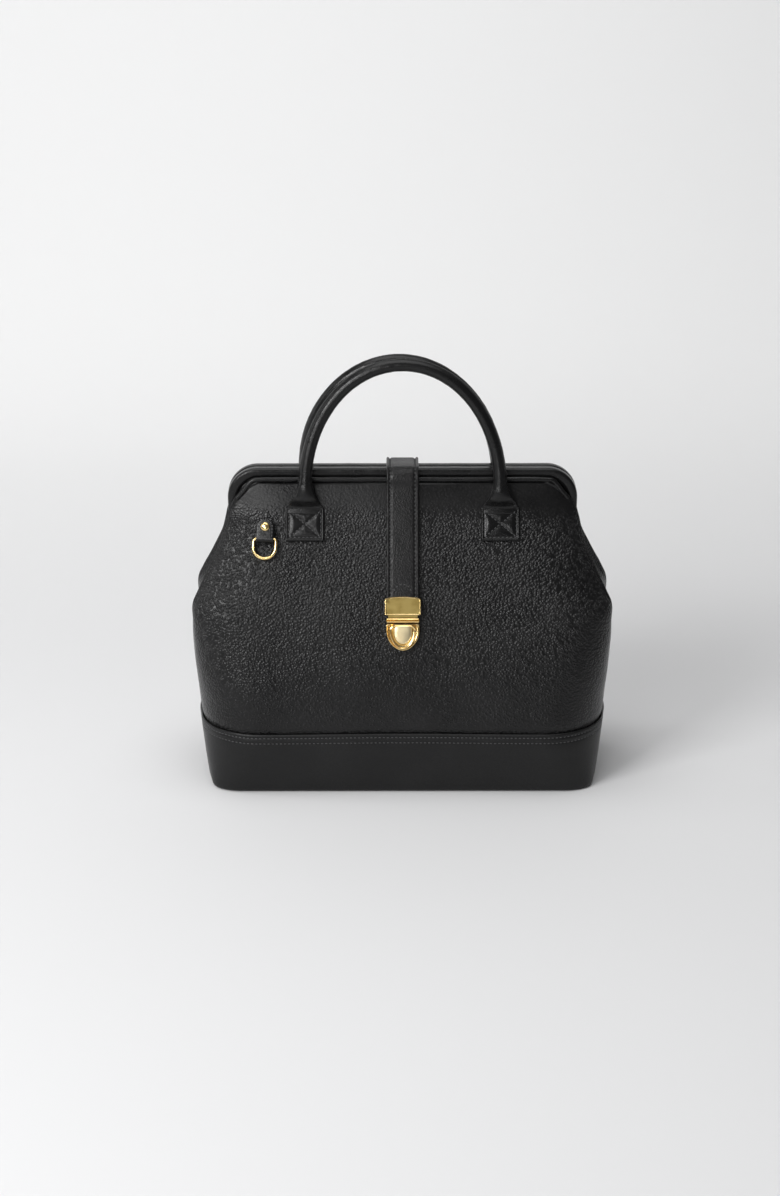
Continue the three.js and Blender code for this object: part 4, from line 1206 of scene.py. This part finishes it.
def add_hasp():
    """The hasp: a plate with a bright bevelled rim, a narrower neck, and a ribbed collar over the lock; the plate
    and neck are brass painted darker, as painted shade.
    """
    matrix = above_lock(HASP_RISE)
    half_u, half_v = HASP_HALF
    low, high = HASP_BACK_OUT, HASP_FRONT_OUT

    def outline(inset, arch=1.2, corner=2.2):
        w, h = half_u - inset, half_v - inset
        turn = np.linspace(0, math.pi / 2, 8)
        soft = HASP_LOW_CORNER
        low_turn = turn - math.pi / 2
        right_low = [(w - soft + soft * math.cos(a), -h + soft + soft * math.sin(a)) for a in low_turn]
        right_top = [(w - corner + corner * math.cos(a), h - corner - 0.6 + corner * math.sin(a))
                     for a in turn]
        x = np.linspace(w - corner, -w + corner, 24)[1:-1]
        top = [(p, h - 0.6 + arch * (1 - (p / w) ** 2)) for p in x]
        right = np.array(right_low + right_top)
        left = right[::-1] * np.array([-1, 1])
        bottom = np.stack([np.linspace(-w + soft, w - soft, 16)[1:-1], np.full(14, -h)], 1)
        return np.concatenate([right, np.array(top), left, bottom])

    steps = [(0.4, low - 0.9), (0, low - 0.5), (0, high - 0.8), (0.3, high - 0.2), (0.8, high),
             (1.15, high - 0.02), (1.5, high - 0.3), (4.5, high - 0.25)]
    fit(bevelled("hasp_plate", outline, steps, matrix, [SHADED_BRUSHED_BRASS]), "strap", "hasp_front_plate")
    rim = [(outline(0), low), (outline(-0.05), high - 0.7), (outline(0.2), high - 0.05),
           (outline(0.75), high + 0.12), (outline(1.2), high - 0.05)]
    fit(ring_of("hasp_rim", rim, [(outline(1.3), high - 0.6), (outline(1.3), low)], matrix, BRASS), "strap")
    # The back plate also gets the brass with painted shade.
    NODES["hasp_back_plate"].data.materials.clear()
    NODES["hasp_back_plate"].data.materials.append(SHADED_BRUSHED_BRASS)

    collar = above_lock(COLLAR_RISE)
    profile = [(-2.2, 3.4), (-2.2, 6.2), (-2.0, 7.5), (-1.5, 8.15), (-0.95, 8.35), (-0.35, 7.7), (0, 6.7),
               (0.35, 7.7), (0.95, 8.35), (1.5, 8.15), (2.0, 7.5), (2.2, 6.2), (2.2, 3.4)]
    half = COLLAR_HALF
    stations = [(-half, 0.82), (-half + 0.25, 0.94), (-half + 0.8, 1.0), (half - 0.8, 1.0),
                (half - 0.25, 0.94), (half, 0.82)]
    loops = []
    for x, grow in stations:
        loops.append(place(np.array([(x, v * grow, 5.5 + (h - 5.5) * grow) for v, h in profile]), collar))
    fit(loft("hasp_ribbed_collar", loops, BRASS, crease=35), "strap", "hasp_collar")
    neck = above_lock(NECK_RISE)
    profile = [(-2.2, 4.2), (-2.2, 6.6), (-1.9, 7.0), (2.4, 7.0), (2.4, 4.2)]
    loops = [place(np.array([(x, v, h) for v, h in profile]), neck) for x in (-13.4, -13.2, 13.2, 13.4)]
    fit(loft("hasp_neck", loops, SHADED_BRUSHED_BRASS, crease=35), "strap")


# ---------------------------------------------------------------- D-ring


def ring_frame():
    return surface_frame(*RING_AT)


def add_ring():
    matrix = ring_frame()
    arc = np.linspace(0, math.pi, 48)
    bow = np.stack([RING_RADIUS * np.cos(arc), -RING_DROP - RING_RADIUS * np.sin(arc)], 1)
    corner = np.linspace(0, math.pi / 2, 8)
    soft = RING_CORNER
    right_top = np.stack([RING_RADIUS - soft + soft * np.sin(corner), -soft + soft * np.cos(corner)], 1)
    left_top = right_top[::-1] * np.array([-1, 1])
    bar = np.stack([np.linspace(-RING_RADIUS + soft, RING_RADIUS - soft, 14)[1:-1], np.zeros(12)], 1)
    loop = np.concatenate([bar, right_top, bow, left_top])
    points = place(lifted(loop, RING_BAR_OUT), matrix)
    tangents = unit(np.roll(points, -1, 0) - np.roll(points, 1, 0))
    normal = np.tile(matrix[:3, 2], (len(points), 1))
    side = unit(np.cross(tangents, normal))
    section = circle(RING_WIRE, 20)
    rings = (points[:, None, :] + section[None, :, :1] * side[:, None, :]
             + section[None, :, 1:] * normal[:, None, :])
    obj = make_mesh("hanging_ring", rings, grid_faces(*rings.shape[:2], True, True), BRASS)
    fit(obj, "d_ring", "d_ring")


def tab_outline(v, half, top):
    """Half width of the tab at a distance v above the bar: its top is round."""
    over = np.clip((v - (top - half)) / half, 0, 1)
    return half * np.sqrt(np.maximum(1 - over ** 2, 0.0))


def add_tab():
    """A leather tab folded round the ring's bar, stitched round its edge, with a domed rivet through it."""
    matrix = ring_frame()
    bend = RING_WIRE + 0.3
    bar_out, layer = RING_BAR_OUT, TAB_LAYER
    half, top = TAB_WIDTH / 2, TAB_TOP
    turn = np.linspace(-math.pi / 2, math.pi / 2, 14)
    spread = np.linspace(-1, 1, 21)
    up = np.linspace(0, 1, 26)[1:] ** 0.8 * top
    path = [(v, -1.0) for v in up[::-1]]
    path += [(-math.cos(a), math.sin(a)) for a in turn]
    path += [(v, 1.0) for v in up]
    outer_rows, inner_rows = [], []
    for v, side in path:
        width = max(tab_outline(max(v, 0), half, top), 0.02)
        if abs(side) < 1 or v <= 0:
            o, i = (bend + layer), bend
            outer_rows.append([(s * width, v * o, bar_out + side * o) for s in spread])
            inner_rows.append([(s * width, v * i, bar_out + side * i) for s in spread])
        else:
            press = 0.35 * (1 - bump(v, 0, 5)) * side
            edge = 0.35 * np.abs(spread) ** 6
            outer_rows.append([(s * width, v, bar_out + side * (bend + layer - e) - press)
                               for s, e in zip(spread, edge)])
            inner_rows.append([(s * width, v, bar_out + side * bend - press) for s in spread])
    outer = place(np.array(outer_rows), matrix)
    inner = place(np.array(inner_rows), matrix)
    obj = sheet("ring_tab", outer[::-1], inner[::-1], SMOOTH)
    fit(obj, "front_panel", "d_ring_tab")
    inset = TAB_STITCH_INSET
    angles = np.linspace(0, math.pi, 30)
    right = [(half - inset, v) for v in np.linspace(1.5, top - half, 12)]
    round_top = [((half - inset) * math.cos(a), top - half + (half - inset) * math.sin(a))
                 for a in angles[1:-1]]
    left = [(-x, v) for x, v in right[::-1]]
    line = np.array(right + round_top + left)
    path = place(lifted(line, RING_BAR_OUT + bend + TAB_LAYER - 0.3), matrix)
    centres, along = along_path(path, TAB_STITCH_PITCH)
    normals = np.tile(matrix[:3, 2], (len(centres), 1))
    fit(stitches("ring_tab_stitches", centres, along, normals, THREAD), "front_panel")
    head = bar_out + bend + layer + 0.05
    radius = RIVET_RADIUS
    profile = [(1.5, bar_out - bend - layer), (1.5, head), (radius - 0.3, head), (radius, head + 0.25),
               (radius, head + 0.7), (radius * 0.93, head + 1.2), (radius * 0.72, head + 1.75),
               (radius * 0.4, head + 2.1), (0.05, head + 2.2)]
    cap = matrix.copy()
    cap[:3, 3] = place(np.array([0.0, RIVET_RISE, 0.0]), matrix)
    fit(lathe("ring_tab_rivet", profile, cap, BRASS), "front_panel", "d_ring_rivet")


# ---------------------------------------------------------------- carried-over CAD nodes


def dress_cad_nodes():
    """Gives every CAD node that still shows the procedural material of its slot."""
    slots = {row["node"]: row["material_slot"] for row in frame["record"]["subparts"]}
    for name, obj in NODES.items():
        obj.data.materials.clear()
        obj.data.materials.append(SLOT_MATERIALS[slots[name]])


# ---------------------------------------------------------------- stage


def see_through_from_behind(n):
    """Lets a camera that stands behind the sheet look through it."""
    clear = n.add("ShaderNodeBsdfTransparent")
    mix = n.add("ShaderNodeMixShader")
    n.link(n.add("ShaderNodeNewGeometry").outputs["Backfacing"], mix.inputs["Fac"])
    n.link(n.shader.outputs["BSDF"], mix.inputs[1])
    n.link(clear.outputs["BSDF"], mix.inputs[2])
    n.link(mix.outputs["Shader"], n.tree.nodes["Material Output"].inputs["Surface"])


def add_floor():
    """A pale seamless sweep: floor and backdrop in one curved sheet, its colour painted darker towards the front
    as painted shade.
    """
    n = Nodes("backdrop")
    depth = n.add("ShaderNodeSeparateXYZ")
    n.link(n.coordinates, depth.inputs["Vector"])
    # Painted shade: the sweep's colour darkens from the back towards the front.
    painted_falloff = n.ramp(depth.outputs["Y"], 0.0, 1.0, 0.2, 1.4)
    n.set(Base_Color=n.mix_color(painted_falloff, (0.69, 0.69, 0.695), (0.90, 0.90, 0.90)), Roughness=0.75,
          Specular_IOR_Level=0.2)
    see_through_from_behind(n)
    profile = [(-4.0, 0.0), (0.9, 0.0)]
    profile += [(0.9 + 0.9 * math.sin(a), 0.9 - 0.9 * math.cos(a))
                for a in np.linspace(0, math.pi / 2, 24)[1:]]
    profile += [(1.8, 6.0)]
    points = [(x, y, z) for y, z in profile for x in (-6.0, 6.0)]
    floor = make_mesh("floor", np.array(points) / MM, grid_faces(len(profile), 2), n.material)


def add_light(name, place_at, target, size, power, color=(1, 1, 1)):
    data = bpy.data.lights.new(name, "AREA")
    data.shape = "RECTANGLE"
    data.size, data.size_y = size
    data.energy = power
    data.color = color
    obj = bpy.data.objects.new(name, data)
    bpy.context.scene.collection.objects.link(obj)
    obj.location = place_at
    obj.rotation_euler = (Vector(target) - Vector(place_at)).to_track_quat("-Z", "Y").to_euler()


def add_studio():
    world = bpy.data.worlds.new("studio")
    world.use_nodes = True
    world.node_tree.nodes["Background"].inputs["Color"].default_value = (0.93, 0.94, 0.95, 1)
    world.node_tree.nodes["Background"].inputs["Strength"].default_value = 0.155
    bpy.context.scene.world = world
    add_light("key", (-1.5, -1.65, 1.6), (0, 0, 0.2), (1.1, 0.9), 46)
    add_light("top", (-0.2, -0.1, 2.5), (0, 0.3, 0.25), (2.4, 1.8), 33)
    add_light("front_fill", (-0.75, -2.5, 1.0), (0, 0, 0.2), (0.8, 0.5), 10)
    add_light("left_strip", (-1.9, 0.2, 0.8), (0, 0, 0.2), (0.3, 1.5), 5)
    bpy.context.scene.view_settings.view_transform = "Standard"


def add_camera():
    """A product shot: almost square to the front, 20 degrees above level, through a long lens."""
    azimuth, elevation, distance = math.radians(-0.2), math.radians(20.0), 2.5
    target = Vector((-0.0115, 0.0, 0.1642))
    data = bpy.data.cameras.new("camera")
    data.sensor_width = 36
    data.lens = 80.3
    data.clip_end = 50
    camera = bpy.data.objects.new("camera", data)
    bpy.context.scene.collection.objects.link(camera)
    back = Vector((math.sin(azimuth) * math.cos(elevation), -math.cos(azimuth) * math.cos(elevation),
                   math.sin(elevation)))
    camera.location = target + back * distance
    camera.rotation_euler = (-back).to_track_quat("-Z", "Y").to_euler()
    bpy.context.scene.camera = camera


# ---------------------------------------------------------------- assembly

dress_cad_nodes()
add_half_shell("front", False, ("front_panel", "front_panel_lower", "right_gusset"))
add_half_shell("back", True, ("back_panel", "back_panel_lower", "left_gusset"))
add_half_lining("front", False, ("lining_front", "lining_right"))
add_half_lining("back", True, ("lining_back", "lining_left"))
add_base()
for prefix, twin in (("front", False), ("back", True)):
    add_piping(prefix, twin)
    add_frame(prefix, twin)
    add_facing(prefix, twin)
    add_handle(prefix, twin)
    for side in ("left", "right"):
        add_patch(prefix, side, twin)
add_hinge("right_hinge_rivet", 1)
add_hinge("left_hinge_rivet", -1)
add_strap()
add_lock()
add_hasp()
add_ring()
add_tab()
add_floor()
add_studio()
add_camera()
